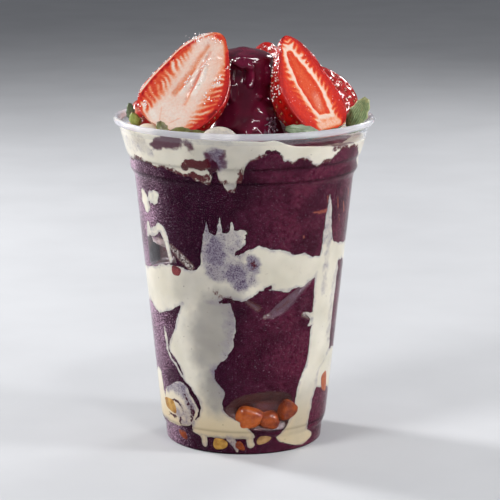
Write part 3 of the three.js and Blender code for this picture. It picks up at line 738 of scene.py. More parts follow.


# %% [markdown]
# ## The finish of the cream and the pulp
#
# Cream is ivory and soft, and lets a little light in. Where it is thin the dark pulp behind turns it
# lavender, and the pulp's grains show as plum specks; the numbers "veil" and "stain" on its points say
# where. Frozen pulp is a dark plum full of ice: a mottled ground, pale pinkish specks of crystals that
# thicken towards the left where it is frosted and where a paler painted sheen stands for the lit side,
# and a warmer, lighter red towards the right, with painted shade left of the middle. Neither has a gloss
# of its own where the plastic touches it, because there the cup's outside shines instead.

# %% Cream and pulp
WET = 0.25  # specular level where the surface stands bare


def cream_finish():
    f = Finish(
        "sweet cream", Roughness=0.35, Subsurface_Weight=0.3, Subsurface_Scale=1.5 * MM,
        Subsurface_Radius=(1.0, 0.8, 0.6),
    )
    fine, flecks = f.grain(0.5, 4, 0.3), f.grain(1.1, 5, 0.3)
    veil = f.ragged(f.number("veil"), f.grain(2.5, 5, 0.6), 0.9)
    shade = f.layers(
        f.ramp(f.grain(14), (0.3, "dbd3bf"), (0.65, "efe7d5")),
        (f.level(f.axis(2), 0.03, 0.008), 0.75, "d0b88c"),  # warmer in the foot
        # painted shade: grey where the cream lies in shade, mostly down the middle of the front
        (f.ragged(f.number("dusk"), f.grain(9), 0.4), 1, "9c968f"),
        (f.level(veil, 0.05, 1.05), 0.88, "857b8e"),
        (f.covered(veil, fine, 0.3, 0.7, 0.96), 0.85, "4a3152"),
        (f.specks(0.4, 0.008), 1, "5b4a45"),
        (f.level(f.ragged(f.number("cloud"), flecks, 0.6), 0.1, 0.9), 0.95, "5a3244"),
        (f.covered(f.number("rust"), flecks, 0.6, 0.64, 0.98), 0.97, "561822"),
        (f.covered(f.number("stain"), flecks, 0.6, 0.72, 0.88), 0.97, "43162a"),
        # painted shadow: a thin dark line where the cup's steps shade the cream
        (f.number("fold"), 0.35, "5a4a40"),
    )
    f.paint(f.maths("MULTIPLY", f.number("bare"), WET), "Specular IOR Level")
    f.bump(f.grain(5), 0.12)
    return f.done(shade)


def pulp_finish():
    f = Finish(
        "frozen acai pulp", Roughness=0.35, Subsurface_Weight=0.08, Subsurface_Scale=0.8 * MM,
        Subsurface_Radius=(1.0, 0.3, 0.4),
    )
    lumps = f.level(f.grain(1.3, 5), 0.15, 0.85)
    cool, warm = f.mix(lumps, "190511", "3a1128"), f.mix(lumps, "3a0e1f", "6e2b42")
    frost, milk = f.number("frost"), f.number("milk")
    # what shows in the air pockets: partly their own tones, partly painted shade and reflection
    pocket = f.ramp(
        f.ragged(f.number("pocket"), f.grain(2, 3), 0.25),
        (0.05, "1c151b"), (0.35, "5c2820"), (0.55, "604050"), (0.75, "bfa096"), (1.0, "e6cdc8"),
    )
    foam = f.ramp(f.grain(0.8, 4), (0.38, "3a3038"), (0.5, "8d8279"), (0.6, "d6cfc8"))
    shade = f.layers(
        # darker and cooler left of the middle, warmer and lighter to the right: the pulp's own red, and
        # painted shade
        f.mix(f.level(f.axis(0), -0.016, 0.026), cool, warm),  # from left to right
        (f.level(f.grain(12), 0.45, 0.7), 0.6, "1e0612"),
        # painted sheen as well as frost: the left side, which the key lamp lights, is paler and more speckled
        (frost, 0.3, "784a68"),
        (f.covered(frost, f.grain(0.34), 0.26, 0.68, 0.79), 0.8, "deb4cc"),
        (f.specks(0.3, 0.09), 0.55, "b88aa2"),
        # painted reflection: red-orange streaks near the top right, with a tan smear
        (f.covered(f.number("red"), f.grain(0.5, 3), 0.5, 0.75, 0.9), 0.6, "b0604c"),
        # painted shade and reflection, with the pockets' own tones, where the pulp is hollowed
        (f.number("hollow"), 0.92, pocket),
        (f.level(milk, 0.05, 0.6), 0.5, "94706c"),
        (f.covered(milk, f.grain(1.2, 3), 0.6, 0.8, 1.05), 0.85, foam),
        # painted shadow: a thin dark line where the cup's steps shade the pulp
        (f.number("fold"), 0.75, "14050d"),
    )
    f.paint(f.maths("MULTIPLY", f.number("bare"), WET), "Specular IOR Level")
    f.bump(f.grain(0.9, 3), 0.18)
    return f.done(shade)


cream_coat, pulp_coat = cream_finish(), pulp_finish()


# %% [markdown]
# ## The pulp
#
# The pulp is one body of revolution whose wall is pushed in wherever cream or trapped air lies between
# it and the plastic. Air pockets are what make a filled cup look real: they are dark, a little glossy,
# and have depth; what shows in them is painted on the pulp behind, partly its own tones and partly
# painted shade and reflection. The largest, a window at the left, has a lump of cream in it that comes
# close to the plastic. The body is then cut in two by the layer of cream that runs through the cup.

# %% Air pockets and small marks on the wall
AIR_WINDOW = [
    (-69, 70, 79.5), (-66, 69.4, 82), (-62, 70, 81.8), (-58, 70.6, 81.2), (-54, 71.2, 82.2),
    (-50, 71.7, 81.5), (-47.5, 72.2, 79), (-44, 72.6, 76.5), (-41, 72.8, 74.6),
]
WINDOW_LUMP = [[(-61.5, 80, 1.4), (-55.5, 79.4, 1.3)]]  # cream that stands in it, close to the plastic
SYRUP_POCKET = [
    (-13.5, 16, 18.5), (-11, 14, 20), (-6, 12, 22.6), (0, 10, 24.2), (10, 9.5, 25.2), (17, 9, 25.4),
    (26, 9, 24.8), (32, 9.5, 23.5), (35.5, 12, 20.5),
]
AIR_SLITS = [
    [(-9.5, 61.9, 0.4), (-6, 60.4, 0.7)], [(1.5, 60.6, 1.0), (8.5, 57.6, 1.5)],
    [(12.5, 54.2, 1.0), (17, 55, 1.8), (22, 57, 2.6), (28, 60, 2.4), (33, 62.8, 1.7), (42, 67, 1.2)],
    [(1.2, 86.9, 0.9), (1.4, 86.1, 0.9)], [(100, 62, 0.6), (108, 59, 1.3), (116, 62, 0.6)],
    [(-135, 84, 0.7), (-128, 86, 1.6), (-122, 84, 0.8)],
]
SMEARS = [
    [(-44.3, 79.2, 0.5), (-38, 76, 1.1), (-31, 72.4, 0.9)], [(12.5, 54.2, 0.3), (15, 54.8, 0.1)],
    [(38, 53.7, 0.5), (44, 52.5, 0.9)],
]
# Red-orange marks on the pulp near the top right: painted reflections of something warm, with a tan smear and
# a spot.
RED_REFLECTIONS_AND_SMEARS = [
    [(49.2, 97.8, 0.4), (49.8, 95.6, 0.3)], [(59, 96.4, 0.3), (60.5, 92.4, 0.5)],
    [(66.8, 94, 0.4), (69, 90.3, 0.6)], [(73, 98.4, 0.3), (75, 95, 0.4)],
    [(62.5, 89.5, 0.2), (63.5, 87, 0.3)], [(39, 92.6, 0.2), (44, 92.2, 0.6), (49, 92.4, 0.8)],
    [(34, 84, 0.4), (34.3, 83.6, 0.4)],
]
# What shows in an air pocket, from dark through brown and beige to pale pink: partly the syrup and
# cream inside, partly painted shade and painted reflection in the trapped air.
POCKET_TONES_AND_PAINTED_LIGHT = [
    (0.0, 1.0, [(-64.6, 82, 0.4), (-66.5, 75, 1.2), (-68, 69, 1.6)]),
    (1.0, 1.2, [(-62, 80.6, 1.8), (-55, 79, 1.6)]), (0.55, 1.0, [(-57, 78, 1.0), (-50.5, 75.5, 1.0)]),
    (1.0, 0.4, [(-55.3, 77.8, 0.5), (-50.5, 77.6, 0.3)]), (0.38, 1.0, [(-49, 75, 0.8), (-46, 73.4, 0.6)]),
    (0.12, 1.0, [(-62, 71.2, 0.6), (-54, 71.9, 0.5)]),
    (0.3, 2.5, [(-9, 13, 1.5), (10, 12, 2.5), (30, 14, 2.5)]),
    (0.42, 2.0, [(12, 18.5, 0.6), (28, 17, 1.5)]), (0.5, 0.8, [(1.5, 60.6, 0.3), (8.5, 57.6, 0.6)]),
    (0.52, 1.3, [(12.5, 54.2, 1.0), (17, 55, 1.8), (22, 57, 2.8), (28, 60, 2.6), (42, 67, 1.2)]),
    (0.42, 0.6, [(20, 56.4, 0.2), (27, 59.4, 0.5)]), (0.8, 1.0, [(-62, 80.6, 0.6), (-58, 80.4, 0.8)]),
]
PULP_COLUMNS, WALL_ROWS, TOP_ROWS = 420, 186, 34
SURFACE_Z = 117.2  # height of the pulp's top in the middle
BELOW_RIM_TOP = 0.8  # how far under the cream's upper edge the pulp meets the wall


def pocket_depth(degrees, height):
    """How far trapped air pushes the pulp in."""
    window = depth_of(in_band(AIR_WINDOW, degrees, height), 1.6, 3.2)
    window = window * (1 - 0.85 * marked(WINDOW_LUMP, degrees, height, 0.9))
    syrup = depth_of(in_band(SYRUP_POCKET, degrees, height), 0.7, 3.6)
    slits = depth_of(strokes_at(AIR_SLITS, degrees, height), 0.8, 0.7)
    return np.maximum(np.maximum(window, syrup), slits)


def rim_depth(degrees, height):
    return depth_of(height - rim_edge(degrees), FILM_SLOPE, FILM_DEPTH)


def pulp_edge(degrees):
    """Height at which the pulp's top meets the wall."""
    return look_up(RIM_TOP, half_turn(degrees), 1) - BELOW_RIM_TOP


def pulp_surface(degrees, radius):
    """Height of the pulp's top, which climbs a little to the cream at the wall."""
    edge = pulp_edge(degrees)
    climb = smooth(radius / wall_radius(edge), 0.66, 1.0)
    rough = waves(round_axis(degrees, radius, 0.0), (0.55, 7.5, 11), (0.3, 3, 12), (0.12, 1.2, 13))
    return mixed(SURFACE_Z, edge, climb) + rough


print("pulp's top in the middle:", round(float(pulp_surface(np.array(0.0), np.array(0.01))), 1), "mm up")

# %% The body of pulp
turn = np.arange(PULP_COLUMNS) * 360 / PULP_COLUMNS - 180
base = [(radius, fill_line[0, 1]) for radius in (6, 13, 19, 23)] + list(fill_line[1:3])  # under it all
rings = [round_axis(turn, radius, height) for radius, height in base]
for share in np.linspace(0, 1, WALL_ROWS):
    height = mixed(fill_line[3, 1], pulp_edge(turn), share)
    film = depth_of(cream_field(turn, height), FILM_SLOPE, FILM_DEPTH)
    inwards = np.maximum(np.maximum(film, rim_depth(turn, height)), pocket_depth(turn, height))
    rings.append(on_wall(turn, height, inwards))
shore = np.hypot(rings[-1][:, 0], rings[-1][:, 1])
for share in np.linspace(0, 1, TOP_ROWS, endpoint=False)[1:]:
    radius = shore * (1 - share)
    rings.append(round_axis(turn, radius, pulp_surface(turn, radius)))
poles = [[0, 0, fill_line[0, 1]], [0, 0, float(pulp_surface(np.array(0.0), np.array(0.01)))]]
pulp = make_piece("acai_pulp", np.vstack([*rings, poles]), ball_faces(len(rings), PULP_COLUMNS))
carve(pulp, layer_disc("layer gap", LAYER_HALF + 0.05, LAYER_SHORT - 0.1), "DIFFERENCE")
report(pulp)


# %% Split it at the layer, and write what the finish reads
def loose_parts(piece):
    """The separate closed bodies of a piece, lowest first."""
    bpy.ops.object.select_all(action="DESELECT")
    piece.select_set(True)
    bpy.context.view_layer.objects.active = piece
    bpy.ops.mesh.separate(type="LOOSE")
    return sorted(bpy.context.selected_objects, key=lambda part: points_of(part)[:, 2].mean())


def give_coat(piece, coat):
    """Gives a carved piece its one material."""
    piece.data.materials.clear()
    piece.data.materials.append(coat)


def wall_places(piece):
    """Angle, height and distance from the axis of every point."""
    x, y, height = points_of(piece).T
    return np.degrees(np.arctan2(x, -y)), height, np.hypot(x, y)


STEP_SHADOW_HEIGHTS = (9.2, 104.9, 110.3)  # where the cup's steps throw a thin shadow
STEP_SHADOW_HALF = 0.45  # half the width of that shadow


def write_wall(piece):
    """Marks the thin shadows at the steps of the wall, and the points that stand off it."""
    _, height, radius = wall_places(piece)
    near = np.min([np.abs(height - step) for step in STEP_SHADOW_HEIGHTS], axis=0)
    # painted shadow along the steps, only on points close to the wall
    fold = np.exp(-((near / STEP_SHADOW_HALF) ** 2)) * (radius > wall_radius(height) - 1)
    write_on(piece, fold=fold, bare=smooth(wall_radius(height) - radius, 0.15, 0.5))


give_coat(pulp, pulp_coat)
pulp_lower, pulp_upper = loose_parts(pulp)
pulp_lower.name, pulp_upper.name = "acai_pulp_lower", "acai_pulp_upper"
for piece in (pulp_upper, pulp_lower):
    degrees, height, radius = wall_places(piece)
    at_wall = smooth(radius - wall_radius(height), -5, -4.5)
    spread = 0.5 + 0.5 * uneven(points_of(piece), 9, 21)
    # paler and more speckled on the left: frost, and a painted sheen of the lit side
    frosted_and_lit = smooth(-np.sin(np.radians(degrees)), 0.55, 0.98) * (1 - 0.75 * smooth(-degrees, 76, 108))
    # tones of the air pockets, partly painted shade and reflection
    pocket = np.full(len(degrees), 0.2)
    for shade, soft, path in POCKET_TONES_AND_PAINTED_LIGHT:
        pocket = mixed(pocket, shade, marked([path], degrees, height, soft))
    write_on(
        piece, frost=at_wall * frosted_and_lit * (0.5 + 0.5 * spread) + 0.1 * spread, pocket=pocket,
        hollow=at_wall * smooth(pocket_depth(degrees, height), 0.05, 0.5),
        milk=at_wall * marked(SMEARS, degrees, height, 1.0),
        red=at_wall * marked(RED_REFLECTIONS_AND_SMEARS, degrees, height, 0.5),
    )
    write_wall(piece)
    report(piece)

# %% [markdown]
# The cream gets its numbers in the same way. Veils, brown clouds, rust, stains and a grey painted shade
# are paths with a strength, and the veil also follows every edge, where the cream is thin.

# %% Veils and stains on the cream
# Each is a path of (degrees, height, half width), with how strong it is.
VEILS = [
    (1.0, [(-17, 82, 2), (-15, 77, 2.6)]), (0.72, [(-20, 88, 2), (-17.5, 80, 5), (-14, 73, 4)]),
    (0.62, [(-13, 91, 1.5), (-9, 84, 4), (-4, 80, 3)]), (1.0, [(-5, 70.8, 2.8), (-1, 67, 2)]),
    (0.5, [(-3, 87, 1.5), (1, 86, 1.5)]), (0.7, [(-8, 74, 2.5), (0, 70, 4.5), (4, 73, 2.5)]),
    (1.0, [(4, 76, 1.2), (5.4, 73.4, 1.2)]), (0.55, [(51, 97, 1.5), (52.5, 82, 2.2)]),
    (0.45, [(53, 78, 0.5), (54, 62, 0.5)]), (0.5, [(-8, 56, 1), (-6, 46, 1.5), (-9.5, 38, 2)]),
    (0.75, [(-17, 33, 1.4), (-14, 29, 1.4)]), (0.4, [(67, 68, 1.5), (67, 42, 1.5)]),
    (0.8, [(-60, 24, 2), (-45, 24, 1.5), (-38, 17, 1)]), (0.7, [(-10, 4.5, 2), (-4, 3.5, 2)]),
    (1.0, [(-13.4, 114.8, 2.0), (-12, 112.8, 2.0)]), (0.6, [(-46, 14, 3), (-40, 12, 2)]),
    (0.35, [(-70, 116, 2), (-50, 115, 1)]), (0.5, [(-6.4, 103.4, 1), (-6.3, 102, 1)]),
    (0.45, [(-57, 96.5, 0.8), (-56, 96.5, 0.8)]), (0.9, [(-158, 74, 2), (-156, 66, 2.5)]),
    (0.8, [(119, 75, 2), (124, 70, 2.5)]), (0.6, [(152, 42, 1.5), (155, 24, 1.5)]),
    (0.6, [(-119, 42, 1.5), (-120, 30, 1.5)]), (0.9, [(178, 68, 2.5), (172, 65, 2)]),
    (0.4, [(-22, 124, 3), (-8, 124, 3)]),
]
CLOUDS = [
    (0.95, [(-45, 118, 1.2), (-38, 119.2, 1.9), (-31, 119.8, 1.4)]),
    (0.8, [(-26.3, 120.2, 0.7), (-25, 117.4, 0.7)]),
    (0.9, [(-16.6, 115.6, 0.6), (-16, 113, 1.0), (-14.2, 110.6, 1.4)]),
    (0.7, [(-9.2, 116.8, 0.4), (-9.6, 112.3, 0.8)]), (0.35, [(-14, 116.5, 1), (-11, 113, 2)]),
    (0.6, [(46, 116, 0.7), (56, 117.6, 0.9), (62, 117.5, 0.6)]), (0.8, [(150, 112, 1.2), (156, 112.6, 1)]),
    (0.7, [(-150, 110.5, 1), (-143, 111, 0.8)]), (0.35, [(-60, 119, 1.5), (-52, 119, 1)]),
]
STAINS = [
    (1.0, [(-14.6, 112, 1.0), (-14, 108, 1.3), (-14.2, 105, 1.2)]),
    (1.1, [(11.6, 116.6, 0.8), (15.6, 116.3, 0.9)]), (0.9, [(-46, 54.9, 0.1), (-42.5, 55.7, 0.15)]),
    (0.6, [(-44, 22, 0.4), (-38, 17, 0.6), (-39, 12.5, 0.5)]),
    (1.0, [(-48.5, 10.8, 0.7), (-47.8, 10.8, 0.7)]),
    (0.9, [(-56, 17.5, 0.3), (-50, 18.5, 0.4), (-46, 15, 0.3)]), (0.8, [(-62, 12, 0.2), (-54, 13, 0.4)]),
    (0.7, [(24, 60.6, 0.4), (30, 63, 0.5)]),
]
RUSTS = [
    (1.0, [(-31, 111, 0.9), (-25, 111.9, 1.5), (-18, 112, 1.4)]),
    (0.9, [(-35, 107.4, 0.2), (-26, 106.9, 0.8), (-18, 106.7, 0.9)]),
    (0.8, [(-12, 105.4, 0.4), (-9, 105.5, 0.5)]),
    (0.8, [(-4, 105.4, 0.4), (-2, 105.8, 0.6), (-1, 110, 0.5)]),
    (0.6, [(46, 115.5, 0.6), (56, 117.5, 0.7), (62, 117.5, 0.5)]), (0.5, [(2, 113.6, 0.5), (8, 115, 0.4)]),
    (0.5, [(-20.7, 65.2, 0.1), (-14, 63, 0.2), (-8.7, 61.4, 0.3)]),
    (0.55, [(4.4, 75.6, 0.6), (5.8, 73.8, 0.7)]),
]
# Grey painted shade on the cream, each a path with how strong it is.
PAINTED_SHADE_PATCHES = [
    (0.8, [(-13, 57, 5), (-20, 48, 5), (-22, 38, 2)]),
    (0.9, [(-18.5, 32, 0.8), (-17, 26, 2), (-17, 21, 1)]), (0.35, [(-30, 64, 4), (-20, 66, 4)]),
    (0.35, [(-12, 112, 6), (0, 114, 4)]), (0.3, [(50, 20, 3), (47, 12, 3)]),
    (0.5, [(155, 50, 3), (153, 22, 2)]),
]


def strongest(marks, degrees, height, soft):
    return np.max([amount * marked([path], degrees, height, soft) for amount, path in marks], axis=0)


def write_cream(piece, inside):
    """Numbers for cream that is inside millimetres from its edge."""
    degrees, height, _ = wall_places(piece)
    spot = points_of(piece)
    thin = 1 - smooth(inside + waves(spot, (0.6, 2.4, 31)), 0.1, 2.1)
    fringe = 1 - smooth(inside + waves(spot, (0.15, 0.9, 32)), 0.0, 0.3)
    brown = 0.8 * (1 - smooth(inside + waves(spot, (0.9, 1.8, 33)), 0.2, 2.0))
    # Marks are bent out of their plain shapes.
    degrees = degrees + waves(spot, (1.3, 2.6, 34), (0.6, 1.1, 35)) / arc_at(height)
    height = height + waves(spot, (1.0, 2.6, 36), (0.5, 1.1, 37))
    write_on(
        piece, veil=np.maximum(0.5 * thin, strongest(VEILS, degrees, height, 3.0)),
        cloud=strongest(CLOUDS, degrees, height, 1.8), dusk=strongest(PAINTED_SHADE_PATCHES, degrees, height, 9),
        rust=np.maximum(brown * smooth(height, 98, 103), strongest(RUSTS, degrees, height, 1.2)),
        stain=np.maximum(0.75 * fringe, strongest(STAINS, degrees, height, 0.8)),
    )
    write_wall(piece)


give_coat(cream, cream_coat)
write_cream(cream, cream_field(*wall_places(cream)[:2]))
print("marks on the cream:", sum(len(marks) for marks in (VEILS, CLOUDS, STAINS, RUSTS, PAINTED_SHADE_PATCHES)))

# %% [markdown]
# ## The cream round the rim
#
# Round the rim the cream is a ring: it starts thin at a ragged lower edge, thickens up the wall and
# laps over onto the pulp. Every section through it has the same number of points, so the ring is a
# plain grid joined both ways. The white swell behind the front of the lip, and a lump at its left, are
# rounded bodies joined to it.

# %% The rim's ring
RING_COLUMNS, RING_ROWS, LAP_ROWS, BACK_ROWS = 520, 34, 12, 10
LAP, LAP_SWING, LAP_SWELL = 6.2, 2.2, 0.7  # how far it laps over the pulp, how unevenly, how high it swells
turn = np.arange(RING_COLUMNS) * 360 / RING_COLUMNS - 180
near_top = on_wall(turn, 120.0)
ring_low = rim_edge(turn)
ring_top = np.maximum(look_up(RIM_TOP, turn, 1), ring_low + 0.8) + waves(near_top, (0.35, 4, 41))
lap_to = wall_radius(ring_top) - LAP - waves(near_top, (LAP_SWING, 9, 42))

sections = [on_wall(turn, mixed(ring_low, ring_top, share), -PROUD) for share in np.linspace(0, 1, RING_ROWS)]
for share in np.linspace(0, 1, LAP_ROWS)[1:]:
    radius = mixed(wall_radius(ring_top), lap_to, share)
    pulp_top = pulp_surface(turn, radius)
    swell = LAP_SWELL * math.sin(math.pi * share) ** 0.7 * (1 - share)
    bead = mixed(ring_top, pulp_top, smooth(share, 0, 0.8)) + swell
    sections.append(round_axis(turn, radius, np.maximum(bead, pulp_top + 0.06)))
lowest = pulp_surface(turn, lap_to) - 0.6
sections.append(round_axis(turn, lap_to + 0.6, lowest))
under_top = np.maximum(np.minimum(ring_top - 2.0, lowest), ring_low + 0.4)
for share in np.linspace(0, 1, BACK_ROWS):
    height = mixed(under_top, ring_low + 0.25, share)
    sections.append(on_wall(turn, height, np.maximum(rim_depth(turn, height), 0.05)))
count = len(sections) * RING_COLUMNS
closed = np.array(grid_faces(len(sections) + 1, RING_COLUMNS)) % count  # the last section joins the first
rim_cream = make_piece("cream_round_the_rim", np.vstack(sections), closed.tolist(), cream_coat)


def round_body(name, centre, half, seed, rough, *materials, steps=28):
    """A rounded, slightly uneven closed body."""
    tilt = np.linspace(0, math.pi, steps)[1:-1, None]
    turn = np.arange(2 * steps) * math.pi / steps
    ball = np.stack([np.sin(tilt) * np.cos(turn), np.sin(tilt) * np.sin(turn), -np.cos(tilt) + 0 * turn], -1)
    ball = np.vstack([ball.reshape(-1, 3), [[0, 0, -1], [0, 0, 1]]])
    ball = ball * (1 + rough * uneven(ball + seed, 0.9, seed))[:, None]
    return make_piece(name, ball * half + centre, ball_faces(len(tilt), len(turn)), *materials)


carve(rim_cream, round_body("dollop", (-9, -37, 118.6), (7.6, 6.2, 6.2), 51, 0.05, cream_coat), "UNION")
carve(rim_cream, round_body("lump", (-35, -22, 120.4), (4.6, 4.2, 3.4), 52, 0.12, cream_coat), "UNION")
degrees, height, _ = wall_places(rim_cream)
write_cream(rim_cream, height - rim_edge(degrees))
report(rim_cream)


# %% [markdown]
# ## The poured mound
#
# Between the strawberries stands a mound of glossy pulp, poured last: a thick fold hangs over on the
# left near its top, a drip runs down under it, and the foot spreads out over the surface. It is turned
# from the same widths as the CAD solid, in fine rings, and its folds are pushed in and out along the
# rings' radius.

# %% The mound
def glossy_pulp():
    f = Finish(
        "glossy acai", Roughness=0.4, Coat_Weight=1.0, Coat_Roughness=0.09, Coat_IOR=1.48,
        Specular_IOR_Level=0.0,
    )
    f.bump(f.grain(1.4), 0.04)
    return f.done(f.layers(
        f.ramp(f.grain(5, 4, 0.6), (0.3, "4e0c28"), (0.72, "781b3a")),
        # painted light: the lower part of the mound is lighter, as the front light falls on it
        (f.level(f.axis(2), 0.138, 0.124), 0.6, "8e2648"),
        (f.specks(0.3, 0.05), 1, "8a5560"),
    ))


MOUND_AT, MOUND_TOP, MOUND_R, MOUND_FOOT_R = np.array([-0.5, -3.0]), 149.4, 10.6, 14.4
MOUND_COLUMNS, SIDE_ROWS, CROWN_ROWS, LID_ROWS = 220, 130, 46, 12
# Shares of the height: where it starts, where the foot has run out and where the crown's rows begin.
MOUND_FROM, FOOT_TO, CROWN_FROM = -0.06, 0.62, 0.86
FOLD_LINE = [(-9, 148), (-5.2, 145.2), (-1, 142.4), (2.2, 142.1), (4, 143.5)]  # x and height of the fold
# Paths of (x, height, half width) on the front, with how far each is pushed out and how softly.
MOUND_STROKES = [
    (1.5, 0.7, [(3, 144, 0.3), (3.1, 139, 0.6), (2.3, 136.8, 0.9), (1.4, 137.4, 0.4)]),
    (-0.9, 1.2, [(0.8, 142, 0.5), (0.8, 138.4, 0.7)]), (1.3, 1.8, [(-4.6, 136.4, 0.5), (-5.2, 132.6, 1.1)]),
    (-1.8, 2.4, [(-6.3, 118.6, 1.1), (-1.6, 118, 1.0)]),
    (3.6, 4.0, [(7, 126, 0.2), (10.4, 122, 1.8), (13.5, 117, 3)]),
    (1.2, 0.8, [(8.6, 131, 0.2), (10.6, 127.4, 0.4), (12.4, 122.4, 0.6)]),
    (2.2, 1.0, [(-7, 129.6, 0.3), (-10.2, 126.6, 0.5), (-13.8, 122.2, 0.8)]),
    (0.9, 0.8, [(5, 132.6, 0.4), (5.9, 132, 0.5)]),
    (2.4, 3.2, [(0, 118.5, 1.0), (4.2, 121.2, 1.2), (6, 118.5, 1.0)]),
    (0.9, 1.2, [(9, 143, 0.3), (9.3, 137, 0.4)]), (1.0, 1.0, [(-4.4, 146.5, 0.4), (-3, 146.8, 0.5)]),
]

crown_ups = CROWN_FROM + (1 - CROWN_FROM) * np.sin(np.linspace(0.02, 1, CROWN_ROWS) * math.pi / 2)
up = np.concatenate([np.linspace(MOUND_FROM, CROWN_FROM, SIDE_ROWS), crown_ups])[:, None]
turn = np.arange(MOUND_COLUMNS) * 2 * math.pi / MOUND_COLUMNS
crown = np.sqrt(np.maximum(1 - smooth(up, 0.87, 1.015) ** 2, 0))
spread = (MOUND_FOOT_R - MOUND_R) * np.maximum(1 - up / FOOT_TO, 0) ** 1.6
wide = (MOUND_R + spread + 0.8 * np.sin(2 * turn - 5.5 * up)) * crown
high = SURFACE_Z + up * (MOUND_TOP - SURFACE_Z) + 0 * turn

x = MOUND_AT[0] + wide * np.cos(turn)
below = np.interp(x, *np.array(FOLD_LINE).T) - high  # how far under the fold
recess = smooth(below, -0.1, 0.9) * (1 - smooth(below, 2, 9)) * (1 - smooth(x, 0.5, 4))
lip = smooth(below, -3.5, -0.6) * smooth(-below, -0.2, 0.6) * (1 - smooth(x, 1, 4.5))
push = 0.8 * lip - 1.9 * recess
for amount, soft, path in MOUND_STROKES:
    push = push + amount * smooth(in_path(path, x, high), -soft, soft / 2)
ring = np.stack([wide * np.cos(turn), wide * np.sin(turn), high], -1)
front = smooth(-np.sin(turn), 0.1, 0.5)
wide = wide + (push * front + waves(ring, (0.45, 7, 61), (0.2, 3, 62))) * np.minimum(1, crown * 1.5)
high = high + waves(ring, (0.6, 6, 63)) * smooth(up, 0.6, 0.88) * smooth(1.02 - up, 0, 0.12)

shares = np.linspace(1, 0, LID_ROWS)[1:-1, None]  # a slightly domed top closes it
wide, high = np.vstack([wide, wide[-1] * shares]), np.vstack([high, high[-1] + 0.5 * (1 - shares**2)])
points = np.stack([wide * np.cos(turn) + MOUND_AT[0], wide * np.sin(turn) + MOUND_AT[1], high], -1)
poles = [[*MOUND_AT, high[0, 0]], [*MOUND_AT, high[-1].mean() + 0.02]]
points = np.vstack([points.reshape(-1, 3), poles])
mound = make_piece("acai_mound_poured", points, ball_faces(len(wide), MOUND_COLUMNS), glossy_pulp())
report(mound)

# %% [markdown]
# ## Strawberry halves
#
# Each is half a berry: a skin with a seed in every dimple, and a cut face. The face of the largest is
# wide, pale and wet, with two brown-red grooves down its middle and short pale veins that climb to the
# edge; the next has an orange core inside a pale border. The face's colour is worked out from where a
# point lies on it, in millimetres across and along from the base, as two numbers: how ripe (pale to
# deep red) and how rosy (orange to pink).

# %% Finishes of the strawberries
def berry_skin():
    f = Finish(
        "strawberry skin", Roughness=0.4, Coat_Weight=0.9, Coat_Roughness=0.03, Coat_IOR=1.55,
        Specular_IOR_Level=0.1, Subsurface_Weight=0.1, Subsurface_Radius=(0.004, 0.0012, 0.0008),
        Subsurface_Scale=0.5,
    )
    f.bump(f.grain(1.1, 3), 0.3)
    return f.done(f.layers(
        f.ramp(f.grain(4, 4), (0.3, "a00705"), (0.7, "cf150c")),
        # painted shade: darker in the seed dimples
        (f.number("dimple"), 1, "9c0c0a"),
        (f.number("shoulder"), 1, "e9a88a"),
    ))


def berry_face():
    f = Finish(
        "strawberry cut face", Roughness=0.5, Coat_Roughness=0.05, Specular_IOR_Level=0.08,
        Subsurface_Weight=0.06, Subsurface_Radius=(0.004, 0.0015, 0.001), Subsurface_Scale=0.4,
    )
    ripe = f.ragged(f.number("ripe"), f.grain(0.8, 4), 0.3)
    orange = f.ramp(
        ripe, (0.0, "f3e4d8"), (0.2, "f0c8b3"), (0.38, "ec9468"), (0.55, "e2561f"), (0.72, "d4260a"),
        (0.88, "b80a05"), (1.0, "860303"),
    )
    rose = f.ramp(ripe, (0.0, "f8efec"), (0.25, "f0cdc6"), (0.5, "dd948a"), (0.75, "b8525a"), (1.0, "7c2230"))
    f.paint(f.number("wet"), "Coat Weight")
    f.bump(f.grain(0.8, 4), 0.22)
    # pale specks: lighter grains of flesh, partly painted glints of the wet face
    return f.done(f.layers(orange, (f.number("rose"), 1, rose), (f.specks(0.35, 0.08), 0.6, "fbeee6")))


skin_coat, face_coat = berry_skin(), berry_face()


# %% [markdown]
# The look of a cut face is a sum of soft steps, veins and strokes. The strokes stand in tables, since
# they are what makes one berry differ from the next.

